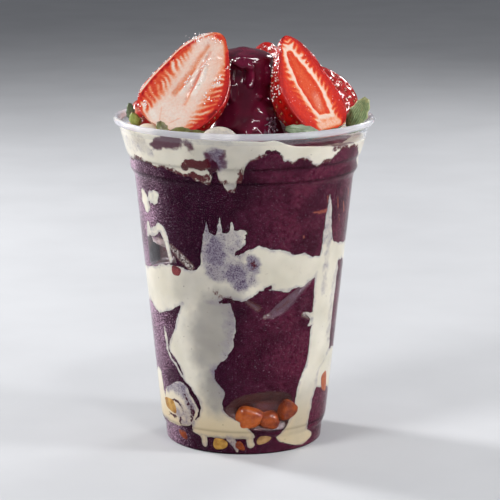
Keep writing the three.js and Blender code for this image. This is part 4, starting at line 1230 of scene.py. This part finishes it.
# %% The two cut faces
# Strokes of (new value, softness, path of across, along and half width), in millimetres on the face.
PALE_RIPE = [
    (0.36, 1.3, [(-1.5, 36, 0.3), (-2.2, 31, 0.4), (-2.2, 25, 0.5), (-2.6, 20, 0.6), (-3.2, 14, 0.7)]),
    (0.5, 0.6, [(-1.5, 26, 0.1), (-1.6, 19.5, 0.3), (-2.2, 16.5, 0.1)]),
    (0.34, 1.0, [(0.4, 34, 0.2), (0.6, 28, 0.3), (1, 24, 0.4), (1.8, 19, 0.4), (2.3, 15, 0.4),
                 (3, 11.5, 0.2)]),
    (0.52, 0.4, [(0.7, 26, 0.1), (1.6, 20.5, 0.2), (2, 17, 0.1)]),
    (0.04, 0.8, [(-0.3, 26, 0.2), (0, 20, 0.5), (-0.7, 15, 0.5)]),
    (0.0, 1.1, [(2.2, 27.5, 0.4), (3.6, 23, 0.9), (3.7, 17, 0.7)]),
    (0.02, 1.8, [(-6, 3.5, 1.2), (-4, 2.2, 0.8)]), (0.1, 2.5, [(-4, 7, 2), (4, 5, 2.5)]),
    (0.8, 1.6, [(12.5, 4.5, 0.8), (14, 9, 0.6)]),
    # a near-white line along the left and upper edge: a painted glint of the wet rim
    (0.04, 0.6, [(-15.4, 9, 0.5), (-14.6, 16, 0.5), (-12.9, 23, 0.4), (-11.2, 30, 0.4), (-8.4, 36, 0.6),
                 (-4, 40.4, 0.4)]),
    (0.66, 1.2, [(-10.4, 27, 0.4), (-8.4, 31.5, 0.5)]), (0.62, 1.0, [(-12, 18, 0.5), (-11, 15, 0.5)]),
    (0.82, 1.0, [(7.4, 36, 0.5), (11.4, 30, 0.6), (14.4, 22, 0.5), (15.4, 15, 0.4)]),
    (0.72, 1.2, [(-1, 40.8, 0.4), (1.5, 40.4, 0.5)]), (0.3, 0.4, [(-4.3, 7, 0.05), (-2.2, 2.2, 0.1)]),
    (0.3, 0.4, [(4.6, 6, 0.05), (2, 2.5, 0.1)]),
]
PALE_ROSE = [
    (0.6, 0.8, [(0.4, 34, 0.1), (0.9, 24, 0.3), (1.8, 18, 0.4)]), (0.35, 2, [(-8, 35, 2), (-3, 38, 1.5)]),
]
PALE_RELIEF = [
    (-0.7, 1.6, [(-1.5, 36, 0.1), (-2, 28, 0.5), (-2.2, 20, 0.6), (-2.9, 14, 0.4)]),
    (-0.8, 1.2, [(0.4, 34, 0.1), (0.9, 26, 0.2), (1.8, 19, 0.4), (2.7, 13, 0.2)]),
    (0.4, 1.0, [(2.2, 27.5, 0.2), (3.5, 23, 0.7), (3.6, 16, 0.5)]),
    (0.35, 1.0, [(-0.3, 24, 0.2), (0, 20, 0.4), (-0.7, 15, 0.4)]),
    (0.4, 0.9, [(9, 29, 0.5), (8.4, 26, 0.5)]),
]
# Along, and the core's edge across.
CORE_LEFT = [
    (0, -1.6), (6.5, -2), (10, -3.4), (15, -4.7), (20, -5.4), (25, -5.3), (30, -4.5), (33, -3.6), (40, -1),
]
CORE_RIGHT = [(0, 4), (6, 4.6), (10, 5.3), (15, 5.4), (21, 4.4), (25, 2.9), (30, 0.9), (33, -0.6), (40, -1)]
CORE_RIPE = [
    (0.28, 1.5, [(-4, 2.3, 1.2), (6.5, 2.8, 1.2)]), (0.8, 1.8, [(-10, 4.4, 0.9), (-8.4, 3.6, 0.7)]),
    (0.48, 2.2, [(1.5, 13, 0.8), (0.5, 9, 0.8)]), (0.86, 1.4, [(8, 29, 0.9), (10, 28, 0.9)]),
    (0.84, 1.6, [(12, 22, 0.8), (13, 14, 0.6), (12, 5, 0.8)]),
]
CORE_ROSE = [(0.35, 2.0, [(1.3, 14, 1), (0.8, 10, 1)])]


def touched(value, touches, across, along):
    """Lays soft strokes of (new value, softness, path) over a number."""
    for new, soft, path in touches:
        value = mixed(value, new, smooth(in_path(path, across, along), -soft, soft / 3))
    return value


def on_face(across, along):
    return np.stack([across, along, 0 * along], -1)


def veins(across, along, middle, pitch, seed):
    """1 on pale veins that leave the middle and climb to the edge."""
    spot = on_face(across, along)
    wander = waves(spot, (0.5, 5, seed), (0.12, 1.6, seed + 1))
    phase = (along - 0.55 * np.abs(across - middle)) / pitch + wander
    reach = 0.35 + 0.9 * smooth(uneven(spot, 4, seed + 2), -0.8, 0.8)
    return reach * (0.5 + 0.5 * np.cos(2 * np.pi * phase)) ** 1.5


def pale_face(across, along, edge):
    """The wide pale face with two grooves: ripe, rosy, relief and wet."""
    streak = veins(across, along, 0.0, 2.5, 71)
    left, right = smooth(-across, 4, 9.5), smooth(across, 6, 12.5)
    streak = streak * np.maximum(left, right) * smooth(edge, 0.5, 2.2)
    ripe = 0.15 + 0.51 * left + 0.58 * right - 0.52 * streak
    ripe = ripe + 0.12 * smooth(across, 2, 6) * smooth(along, 26, 34) + 0.16 * smooth(along, 36, 41)
    ripe = ripe + 0.3 * smooth(2.6 - edge, 0, 1.8) * smooth(across, -2, 3)
    ripe = ripe + 0.3 * np.exp(-(((edge - 1.5) / 0.8) ** 2)) * smooth(-across, 1, 4) * smooth(along, 4, 9)
    ripe = touched(ripe, PALE_RIPE, across, along)
    rose = touched(0.12 + 0 * along, PALE_ROSE, across, along)
    return ripe, rose, touched(0 * along, PALE_RELIEF, across, along), 0.35


def core_face(across, along, edge):
    """A face with an orange core in a pale border."""
    left, right = (np.interp(along, *np.array(side).T) for side in (CORE_LEFT, CORE_RIGHT))
    core = np.minimum(np.minimum(across - left, right - across), np.minimum(along - 6.2, 33.2 - along))
    core = core + waves(on_face(across, along), (0.35, 1.6, 75))
    streak = veins(across, along, -0.5, 2.6, 73)
    outer, inner = smooth(-core, 0.7, 3.0), smooth(core, -0.25, 0.5)
    spikes = 0.55 * streak * outer * (1 - smooth(-core, 2.0, 6.0)) * smooth(edge, 0.3, 2)
    ripe = 0.13 + (0.6 + 0.05 * smooth(across, 3, 7)) * outer - spikes + 0.18 * smooth(3 - edge, 0, 2.5)
    ripe = mixed(ripe, 0.68 - 0.09 * smooth(core, 0.8, 3), inner)
    ripe = touched(ripe, CORE_RIPE, across, along)
    rose = touched(0.05 * smooth(core, 1.2, 3.4), CORE_ROSE, across, along)
    return ripe, rose, -0.15 * inner, 0.12


middle = np.array([[0.0]]), np.array([[20.0]])
print("ripeness in the middle of the pale face:", round(float(pale_face(*middle, 10.0)[0][0, 0]), 2))

# %% [markdown]
# The body of a half is a stack of sections from the stalk end to the tip: half a circle of skin, then a
# row of points across the cut. Dimples, seeds and beads of juice are placed by the same formula as the
# skin, so they follow its lean and taper.

# %% Build the halves
# Name, stalk end, tip, widest radius, way the cut looks, how hollow it is, lean and look.
BERRIES = [
    ("front_left", (-30.2, -26, 123.4), (-9, -9, 155.6), 15.7, (-0.43, -0.88, 0.2), 1.3, 0.08, pale_face),
    ("front_right", (31.6, -20, 121.2), (15.3, -8, 154.6), 14.9, (0.75, -0.64, 0.2), 0.3, -0.08, core_face),
    ("back_right", (36, 14, 117.6), (22, 12, 141.4), 12.2, (0.15, 0.98, 0.1), 0.4, 0.0, core_face),
    ("back", (7.5, 25.5, 118.2), (8.8, 18.5, 149.2), 11.6, (0.05, 1, 0.2), 0.5, 0.04, core_face),
    ("back_left", (-43, 10, 118.8), (-16, 15, 124), 9.4, (0, 0.85, -0.5), 0.3, 0.0, core_face),
]
STATIONS, SKIN_STEPS, FACE_STEPS = 118, 60, 96
# Beads of juice: share of the length, turn round the half (0 and pi are its edges), how many.
DEW = {
    "front_left": [((0.08, 0.96), (2.95, 3.16), 170), ((0.94, 0.98), (2.2, 3.1), 16)],
    "front_right": [((0.45, 0.97), (2.5, 3.15), 90), ((0.3, 0.95), (0.0, 0.12), 30)],
    "back_right": [((0.3, 0.97), (0.3, 2.8), 80)],
    "back": [((0.75, 0.98), (0.3, 2.9), 40)],
    "back_left": [((0.1, 0.9), (0.6, 2.6), 40)],
}
# The same on the cut face: middle across and along, half its width and height, how many.
FACE_DEW = {
    "front_left": [
        (9.8, 24, 1.2, 3, 26), (1.5, 29.5, 1.4, 2.5, 24), (3.3, 23, 0.8, 4, 20), (-7, 36.5, 2.2, 2, 26),
        (-11, 5.5, 1.4, 1.4, 14), (9.5, 18, 1.5, 2, 14), (0.5, 38.6, 3, 1.2, 18), (-1, 20, 0.6, 4, 12),
        (11, 31, 1, 3, 10),
    ],
}
SEED_ROW, SEED_GAP = 2.9, 3.3  # between rows of seeds, and between seeds in a row
DIMPLE_HALF, DIMPLE_DEEP, SEED_SUNK = 1.15, 0.6, 0.22
seed_points, seed_normals, seed_ways, dew_points = [], [], [], []


def unit(vectors):
    return vectors / (np.linalg.norm(vectors, axis=-1)[..., None] + 1e-9)


def turn_to(start, end, face):
    """Axes with Z from start to end and -Y as near as can be to the face, and the length between them."""
    z = unit(np.subtract(end, start))
    y = -unit(np.asarray(face, float) - np.dot(face, z) * z)
    return np.stack([np.cross(y, z), y, z]), float(np.linalg.norm(np.subtract(end, start)))


def berry_taper(share):
    return np.sin(np.pi * share**0.62) ** 0.55


def seed_pits(length, radius):
    """Share of the length and turn of every seed; they sit in rows."""
    pits = []
    for row, middle in enumerate(np.arange(0.9, length - 1.5, SEED_ROW)):
        count = max(int(np.pi * radius * berry_taper(middle / length) / SEED_GAP), 1)
        spread = (np.arange(count) + 0.5 + 0.25 * (-1) ** row) / count
        spread = spread + 0.07 * uneven(np.stack([spread * 30, spread * 0 + row, spread * 0], -1), 1, 81)
        spread = np.clip(spread, 0.05, 0.95)
        pits += zip(middle / length + 0.012 * np.sin(9 * spread + row), np.pi * spread)
    return np.array(pits).T


def half_berry(name, base, tip, radius, face, hollow, lean, look):
    """Half a berry of rings: skin behind, cut face in front."""
    axes, length = turn_to(base, tip, face)
    step = 0.01  # a little way on along the skin, which tells its slope

    def section(share, turn):
        size = radius * berry_taper(share)
        aside = lean * radius * np.sin(2 * np.pi * (share - 0.25)) * np.sin(np.pi * share)
        return np.stack([aside + size * np.cos(turn), size * np.sin(turn), length * share + 0 * turn], -1)

    share = (0.5 - 0.5 * np.cos(np.pi * np.arange(1, STATIONS) / STATIONS))[:, None]
    turn = np.linspace(0, np.pi, SKIN_STEPS + 1)[None, :]
    skin = section(share, turn)
    pits = seed_pits(length, radius)
    centres = section(*pits)
    ahead = section(pits[0] + step, pits[1]) - centres
    outward = unit(np.cross(section(pits[0], pits[1] + step) - centres, ahead))
    near = np.min([np.linalg.norm(skin - centre, axis=-1) for centre in centres], axis=0)
    dimple = np.exp(-((near / DIMPLE_HALF) ** 2))
    inward = unit(skin * (-1, -1, 0))
    skin = skin + inward * (DIMPLE_DEEP * dimple - 0.15 + waves(skin, (0.1, 3, 83)))[..., None]
    skin[..., 1] = np.maximum(skin[..., 1], 0)

    def placed(points):
        return points @ axes + base

    seed_points.append(placed(centres - outward * SEED_SUNK))
    seed_normals.append(outward @ axes)
    seed_ways.append(unit(ahead) @ axes)
    luck = np.random.default_rng(len(name))
    for lengths, turns, count in DEW.get(name, []):
        dew_points.append(placed(section(luck.uniform(*lengths, count), luck.uniform(*turns, count))))
    for v, u, wide, high, count in FACE_DEW.get(name, []):
        v, u = v + wide * luck.normal(0, 0.6, count), u + high * luck.normal(0, 0.6, count)
        dew_points.append(placed(np.stack([v, np.full(count, -0.05), u], -1)))

    across = np.linspace(-1, 1, FACE_STEPS + 1)[None, 1:-1]
    size = radius * berry_taper(share)
    v, u = section(share, np.pi / 2)[..., 0] + size * across, length * share + 0 * across
    edge = size * (1 - np.abs(across))
    ripe, rose, relief, wet = look(v, u, edge)
    relief = relief + waves(on_face(v, u), (0.12, 1.3, 84), (0.1, 3.2, 85))
    y = hollow * np.sin(np.pi * share) * (1 - np.abs(across)) ** 2 - relief * np.minimum(1, edge / 1.5)
    y = y + 0.35 * np.maximum(1 - edge / 0.5, 0) ** 2
    rings = np.concatenate([skin, np.stack([v, y, u], -1)], 1)
    rows, columns = rings.shape[:2]
    points = placed(np.vstack([rings.reshape(-1, 3), [[0, 0.1, 0], [0, 0.1, length]]]))
    piece = make_piece("berry_half_" + name, points, ball_faces(rows, columns), skin_coat, face_coat)
    slots = np.zeros(len(piece.data.polygons), np.int32)
    slots[: (rows - 1) * columns] = np.tile(np.arange(columns) >= SKIN_STEPS, rows - 1)
    piece.data.polygons.foreach_set("material_index", slots)

    def on_rings(skin_values, cut_values):
        values = np.concatenate([np.broadcast_to(skin_values, skin.shape[:2]), cut_values], 1)
        return np.append(values.ravel(), values[[0, -1]].mean(1))

    up = skin[..., 2]
    write_on(
        piece, ripe=on_rings(0.85 - 0.5 * smooth(4 - up, 0, 4), ripe), rose=on_rings(0.3, rose),
        wet=np.full(len(points), wet), dimple=on_rings(dimple, 0 * ripe),
        shoulder=on_rings(1 - smooth(up + 0.8 * np.sin(9 * turn), 0.5, 3.5), 0 * ripe),
    )
    report(piece)
    return piece


berries = [half_berry(*row) for row in BERRIES]


# %% [markdown]
# ## Seeds, juice and bubbles
#
# The seeds are small drops, one to each dimple, pointed towards the berry's tip. Cut berries also weep:
# the juice stands in tiny beads along the edges of the cut and in the roughest spots of the face. The beads
# are an opaque near-white, so they are painted glints as well as juice. And a cluster of bubbles was
# trapped at the foot of the mound as it was poured; their skin is paler than the pulp, partly a painted
# sheen. All of them repeat, so they grow from points with Geometry Nodes. Each seed's point also carries
# the way out of the skin and the way to the tip, and the drop is turned to both.

# %% Drops on points by Geometry Nodes
def drops_group(name, measure, least, most, shape=None):
    """A group that puts drops of differing size on points; drops with a shape are turned as well."""
    group, given = group_with(name, (measure, "Float"), ("Seed", "Int"), ("Coat", "Material"))
    drop = add(group, "GeometryNodeMeshIcoSphere", {"Radius": 1.0, "Subdivisions": 2}).outputs[0]
    share = {"Min": least, "Max": most, "Seed": given["Seed"]}
    share = add(group, "FunctionNodeRandomValue", share, data_type="FLOAT").outputs[1]
    size = add(group, "ShaderNodeMath", {0: share, 1: given[measure]}, operation="MULTIPLY").outputs[0]
    inputs = {"Points": given["Geometry"], "Instance": drop, "Scale": size}
    if shape:
        inputs["Instance"] = add(group, "GeometryNodeTransform", {0: drop, "Scale": shape}).outputs[0]
        for field, axis, pivot in (("normal", "Z", "AUTO"), ("way", "Y", "Z")):
            vector = add(group, "GeometryNodeInputNamedAttribute", {"Name": field}, data_type="FLOAT_VECTOR")
            aligned = {"Vector": vector.outputs[0]}
            if "Rotation" in inputs:
                aligned["Rotation"] = inputs["Rotation"]
            aligned = add(group, "FunctionNodeAlignRotationToVector", aligned, axis=axis, pivot_axis=pivot)
            inputs["Rotation"] = aligned.outputs[0]
    finish_group(group, add(group, "GeometryNodeInstanceOnPoints", inputs).outputs[0], given["Coat"])
    return group


def seed_coat():
    f = Finish("seed", Roughness=0.35, Coat_Weight=0.4)
    return f.done(f.ramp(f.grain(2.5), (0.35, "a4562a"), (0.65, "c98f56")))


def wet_coat(name, shade, through):
    return Finish(
        name, Base_Color=shade, Roughness=0.05, IOR=1.35, Coat_Weight=1.0, Coat_IOR=1.7,
        Coat_Roughness=0.02, Transmission_Weight=through,
    ).material


seeding = drops_group("Seeds on points", "Length", 0.8, 1.15, (0.3, 0.5, 0.2))
values = {"Length": 0.9 * MM, "Seed": 4, "Coat": seed_coat()}
ways = {"normal": np.vstack(seed_normals), "way": np.vstack(seed_ways)}
seeds = grown("strawberry_seeds", np.vstack(seed_points), seeding, values, vectors=ways)

beading = drops_group("Beads on points", "Radius", 0.35, 1.0)
# the beads are an opaque near-white: painted glints as well as juice
values = {"Radius": 0.36 * MM, "Seed": 7, "Coat": wet_coat("berry juice", "fff4f0", 0.0)}
juice = grown("berry_juice_beads", np.vstack(dew_points), beading, values)

BUBBLES, BUBBLES_AT, BUBBLES_SPREAD = 44, (10, 122), (1.4, 1.5)  # how many, x and height, how far they spread
luck = np.random.default_rng(12)
around = np.clip(luck.normal(0, 1, (BUBBLES, 2)), -1.6, 1.6) * BUBBLES_SPREAD + BUBBLES_AT
skin = points_of(mound)
skin = skin[skin[:, 1] < MOUND_AT[1] - 3]  # its front
nearest = np.hypot(*(skin[None, :, [0, 2]] - around[:, None]).transpose(2, 0, 1)).argmin(1)
# painted sheen in part: the bubbles' skin is a paler mauve than the pulp, for the white glints of the foam
values = {"Radius": 0.8 * MM, "Seed": 3, "Coat": wet_coat("bubble skin", "8a5a70", 0.3)}
bubbles = grown("acai_bubbles", skin[nearest], beading, values)
for piece in (seeds, juice, bubbles):
    report(piece)

# %% [markdown]
# ## Sepals
#
# The strawberries' leaves are thin closed sheets that arch and ripple. Along and across the leaf are
# written on the points, so the finish can draw its veins and the paler, dried edge. Four thin shreds of
# calyx under the two front berries are the same sheet, made narrow.

# %% Leaves
def leaf_coat(name, dark, light, edge_shade, tip_shade):
    f = Finish(name, Roughness=0.45, Specular_IOR_Level=0.4, Coat_Weight=0.15)
    across, along, noise = f.number("across"), f.number("along"), f.grain(1.3, 4)
    slanted = f.maths("ADD", across, f.maths("MULTIPLY", along, 0.12))
    lines = f.maths("SINE", f.maths("MULTIPLY", f.ragged(slanted, noise, 0.1), 30.0))
    rim = f.ragged(f.maths("ABSOLUTE", across), noise, 0.4)
    f.bump(f.maths("ADD", lines, noise), 0.06)
    return f.done(f.layers(
        f.mix(f.ragged(f.level(lines, -2.4, 2.4), noise, 1.8), dark, light),
        (f.level(f.grain(2.5, 3), 0.5, 0.7), 0.6, tip_shade),
        (f.level(rim, 0.82, 1.0), 1, edge_shade),
        (f.level(f.ragged(along, noise, 0.3), 0.86, 1.0), 1, tip_shade),
    ))


grey_leaf = leaf_coat("grey green leaf", "63794a", "93a56f", "b9bb86", "a9ad74")
dark_leaf = leaf_coat("dark green leaf", "5c7050", "8b9c78", "34442c", "55623a")
olive_leaf = leaf_coat("olive leaf", "4c4c18", "80803a", "8a7a3c", "6a5420")
bright_leaf = leaf_coat("yellow green leaf", "8a9c3c", "c2cc74", "6f6a34", "8a6a34")
# Name, root, tip, way the leaf looks, width, how far it bows, finish.
LEAVES = [
    ("right", (39.4, -3, 119), (45.8, -5.5, 131), (0, -1, 0.1), 7.4, 1.2, grey_leaf),
    ("front_right", (27, -35.2, 122.4), (14.8, -38.5, 124.7), (0, -0.85, 0.5), 5, 0.8, dark_leaf),
    ("front_left", (-28.6, -31.5, 120.6), (-30.8, -32, 126.2), (0, -0.9, 0.4), 4.6, 0.8, olive_leaf),
    ("front", (-27, -34, 122.8), (-18.6, -37.2, 123.4), (0, -0.8, 0.6), 3.6, 0.5, olive_leaf),
    ("left", (-39.6, -13, 121.6), (-41, -15.5, 127), (-0.3, -0.9, 0.3), 4.6, 1, bright_leaf),
    ("left_tip", (-42.2, -0.5, 121.8), (-42.8, -2, 128.6), (0.1, -1, 0.2), 3.4, 0.6, dark_leaf),
    ("back_right", (36, 20, 119.4), (39.8, 25, 126.6), (0.3, 0.3, 0.9), 6, 1, grey_leaf),
    ("back", (18, 29.5, 118.8), (26.5, 35, 123.6), (-0.2, 0.2, 0.95), 6.5, 1, bright_leaf),
]
SHREDS = [
    ("shred_1", (-24, -35.2, 123), (-10.5, -38, 122.7), (0, -0.8, 0.5), 2.0, 0.3, olive_leaf),
    ("shred_2", (27, -26, 121.6), (31.4, -25.7, 122.3), (0, -0.9, 0.4), 0.7, 0.1, olive_leaf),
    ("shred_3", (31, -25.5, 122.2), (34, -24.4, 122.7), (0, -0.9, 0.4), 0.6, 0.1, olive_leaf),
    ("shred_4", (34, -24.4, 122.4), (35.8, -23.4, 123.4), (0, -0.9, 0.4), 0.6, 0.1, dark_leaf),
]
LEAF_ROWS, LEAF_COLUMNS, LEAF_THICK = 44, 26, 0.5


def leaf_sheet(name, root, tip, face, width, bow, coat):
    """A thin closed sheet from root to tip."""
    axes, length = turn_to(root, tip, face)
    grid = np.linspace(0, 1, LEAF_ROWS), np.linspace(-1, 1, LEAF_COLUMNS)
    share, across = np.meshgrid(*grid, indexing="ij")
    half = width / 2 * mixed(0.28, 1, np.sin(np.pi * share**0.8) ** 0.8)
    half = half * (1 + 0.08 * np.sin(23 * share + 2) * np.abs(across) ** 3)
    arch = bow * np.sin(np.pi * share) * (1 - 0.7 * across**2) + 0.25 * np.sin(7 * share + 2 * across)
    arch = arch - 0.35 * np.abs(across) ** 6 - 0.2 * np.exp(-((across / 0.12) ** 2))
    thin = LEAF_THICK / 2 * (1 - 0.75 * np.maximum(np.abs(across), np.abs(2 * share - 1)) ** 6)
    sides = [np.stack([half * across, -arch - side * thin, length * share], -1) for side in (1, -1)]
    points = np.concatenate(sides).reshape(-1, 3) @ axes + root
    front = np.array(grid_faces(LEAF_ROWS, LEAF_COLUMNS, False))
    index = np.arange(share.size).reshape(share.shape)
    rim = np.concatenate([index[0, :-1], index[:-1, -1], index[-1, :0:-1], index[:0:-1, 0]])
    after = np.roll(rim, -1)
    edge = np.stack([after, rim, rim + share.size, after + share.size], -1)
    faces = np.vstack([front, front[:, ::-1] + share.size, edge])
    piece = make_piece("leaf_sheet_" + name, points, faces.tolist(), coat)
    write_on(piece, across=np.tile(across.ravel(), 2), along=np.tile(share.ravel(), 2))
    report(piece)
    return piece


leaves = [leaf_sheet(*row) for row in LEAVES]
shreds = [leaf_sheet(*row) for row in SHREDS]

# %% [markdown]
# ## Fruit against the wall
#
# Chunks of fruit lie at the bottom and show through the plastic. They are rounded blocks with soft
# edges, thick at one end as wedges are, no two of them leaning alike, and pressed flat where they meet
# the wall. A scrap of red berry higher up is made in the same way.

# %% Fruit
def fruit_coat(name, dark, light, wet):
    f = Finish(
        name, Roughness=0.4, Coat_Weight=wet, Coat_Roughness=0.05, Coat_IOR=1.35, Specular_IOR_Level=0.1,
        Subsurface_Weight=0.12, Subsurface_Radius=(0.004, 0.002, 0.001), Subsurface_Scale=0.5,
    )
    f.bump(f.grain(1.4, 3), 0.3)
    return f.done(f.ramp(f.grain(3.2, 4), (0.35, dark), (0.68, light)))


orange_coat = fruit_coat("orange fruit", "8a2c02", "c05e18", 0.9)
shaded_coat = fruit_coat("orange fruit in shade", "661c04", "a84a10", 0.6)
yellow_coat = fruit_coat("yellow fruit", "8e5a14", "d0a048", 0.6)
tan_coat = fruit_coat("tan fruit", "96683c", "c9a06a", 0.3)
red_coat = fruit_coat("red fruit", "52121a", "943c3e", 0.6)
# Degrees, height of the middle, half its width and height, finish.
FRUIT = [
    (-61, 16, 5.5, 3.6, yellow_coat), (5, 14.2, 5.4, 4.2, orange_coat), (18, 13, 4.3, 3.2, shaded_coat),
    (34, 17, 3.6, 3.5, shaded_coat), (67, 25, 3.2, 4.6, orange_coat), (-17, 4.2, 3.6, 2.8, yellow_coat),
    (-3, 4, 2.2, 2.2, shaded_coat), (14, 6, 3.2, 2.4, tan_coat), (-50, 5.6, 3, 2.2, shaded_coat),
    (118, 15, 5, 3.8, orange_coat), (-140, 14, 4.6, 4, yellow_coat), (-42, 70, 3.2, 2.6, red_coat),
]
FRUIT_DEEP, LEAN, WEDGE = 3.6, 0.22, 0.34
BLOCKY = (0.74, 0.9, 0.74)  # powers that square a ball: the smaller, the squarer


def fruit_chunk(number, turned_by, middle, half_wide, half_high, coat):
    """A block of fruit that lies against the wall."""
    name = "fruit_chunk_%d" % number if number < len(FRUIT) else "berry_scrap"
    chunk = round_body(name, (0, 0, 0), (1, 1, 1), 90 + number, 0.22, coat, steps=34)
    ball = points_of(chunk)
    across, inwards, up = (np.sign(ball) * np.abs(ball) ** BLOCKY * (half_wide, FRUIT_DEEP, half_high)).T
    way = (-1) ** number
    across = across + LEAN * way * up
    up = up * (1 - WEDGE * way * across / half_wide)
    sunk = 0.92 if pocket_depth(np.array(turned_by), np.array(middle)) > 1 else 0.72
    side, out = round_axis(turned_by + 90, 1, 0), round_axis(turned_by, 1, 0)
    points = on_wall(turned_by, middle, sunk * FRUIT_DEEP) + np.outer(across, side) - np.outer(inwards, out)
    points[:, 2] = np.maximum(points[:, 2] + up, wall_line[0, 1] + 0.2)
    far = np.hypot(points[:, 0], points[:, 1])
    points[:, :2] *= np.minimum(1, (wall_radius(points[:, 2]) + 0.05) / far)[:, None]
    chunk.data.vertices.foreach_set("co", (points * MM).ravel())
    chunk.data.update()
    report(chunk)
    return chunk


fruits = [fruit_chunk(number, *row) for number, row in enumerate(FRUIT, 1)]

# %% [markdown]
# ## Stage, light and camera
#
# A plain pale floor, one key lamp from the front left, lamps at both sides and behind for the streaks on
# the plastic, and a small one from above. Two more lamps light only what shines, so they give the wet
# highlights and leave the matt colours alone. The camera stands in front and looks slightly down.

# %% Stage, lamps and camera
def floor_coat():
    f = Finish("pale floor", Roughness=0.7)
    return f.done(f.ramp(f.grain(60, 3), (0.3, "c6c7ca"), (0.7, "cccdd0")))


FLOOR_HALF = 6000
corners = [(x * FLOOR_HALF, y * FLOOR_HALF, 0) for x, y in ((-1, -1), (1, -1), (1, 1), (-1, 1))]
floor = make_piece("floor", corners, [[0, 1, 2, 3]], floor_coat())

LAMPS_LOOK_AT = Vector((0, 0, 0.09))
# Name, where in metres, width and height, watts, whether it lights matt surfaces.
LAMPS = [
    ("key", (-0.75, -0.65, 0.75), (0.34, 0.34), 7, True),
    ("left back", (-0.7, 0.45, 0.4), (0.14, 0.5), 8, True),
    ("right", (0.8, -0.2, 0.35), (0.16, 0.5), 4.6, True),
    ("right back", (0.5, 0.75, 0.5), (0.25, 0.25), 3, True),
    ("front top", (0.2, -0.6, 1.0), (0.12, 0.12), 1.8, True),
    ("gloss", (0.55, -0.4, 0.75), (0.4, 0.4), 14, False),
    ("gloss low", (0.75, -0.45, 0.3), (0.24, 0.45), 8, False),
]
for name, where, size, power, on_matt in LAMPS:
    data = bpy.data.lights.new(name, "AREA")
    data.shape, data.size, data.size_y, data.energy = "RECTANGLE", *size, power
    lamp = bpy.data.objects.new(name, data)
    lamp.location, lamp.visible_diffuse = where, on_matt
    lamp.rotation_euler = (LAMPS_LOOK_AT - Vector(where)).to_track_quat("-Z", "Y").to_euler()
    bpy.context.scene.collection.objects.link(lamp)

world = bpy.data.worlds.new("soft studio")
world.use_nodes = True
world.node_tree.nodes["Background"].inputs["Color"].default_value = colour("c9ccd4")
world.node_tree.nodes["Background"].inputs["Strength"].default_value = 0.25
bpy.context.scene.world = world
bpy.context.scene.view_settings.view_transform = "Standard"

TILT, YAW, ROLL = 0.2052, 0.0027, 0.0019  # radians
CAMERA_AT, LENS, SENSOR = (0, -0.8514, 0.2493), 164.88, 36
ahead = Vector((math.sin(YAW) * math.cos(TILT), math.cos(YAW) * math.cos(TILT), -math.sin(TILT)))
right = Vector((math.cos(YAW), -math.sin(YAW), 0))
up = right.cross(ahead)
right, up = math.cos(ROLL) * right + math.sin(ROLL) * up, math.cos(ROLL) * up - math.sin(ROLL) * right
camera = bpy.data.objects.new("camera", bpy.data.cameras.new("camera"))
camera.data.lens, camera.data.sensor_width = LENS, SENSOR
camera.matrix_world = Matrix.Translation(CAMERA_AT) @ Matrix((right, up, -ahead)).transposed().to_4x4()
bpy.context.scene.collection.objects.link(camera)
bpy.context.scene.camera = camera
print("lamps:", len(LAMPS))

# %% [markdown]
# ## Hand the pieces to the frame
#
# Nothing on the cup moves, so every piece rides on its one body. Each takes the place of a plain solid,
# apart from the seeds, beads, bubbles and shreds, which the solids leave out.

# %% Hand the pieces to the frame
loose = [cup, cream, rim_cream, pulp_upper, pulp_lower, mound, seeds, juice, bubbles]
for piece in [*loose, *berries, *leaves, *shreds, *fruits]:
    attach(piece, "root")
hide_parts("cup")
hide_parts("cream_middle")
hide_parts("cream_rim")
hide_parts("acai_upper")
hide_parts("acai_lower")
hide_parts("acai_mound")
for piece, row in zip(berries, BERRIES):
    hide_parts("strawberry_" + row[0])
for piece, row in zip(leaves, LEAVES):
    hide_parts("leaf_" + row[0])
for number, piece in enumerate(fruits, 1):
    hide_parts("fruit_%d" % number if number < len(fruits) else "berry_bit")
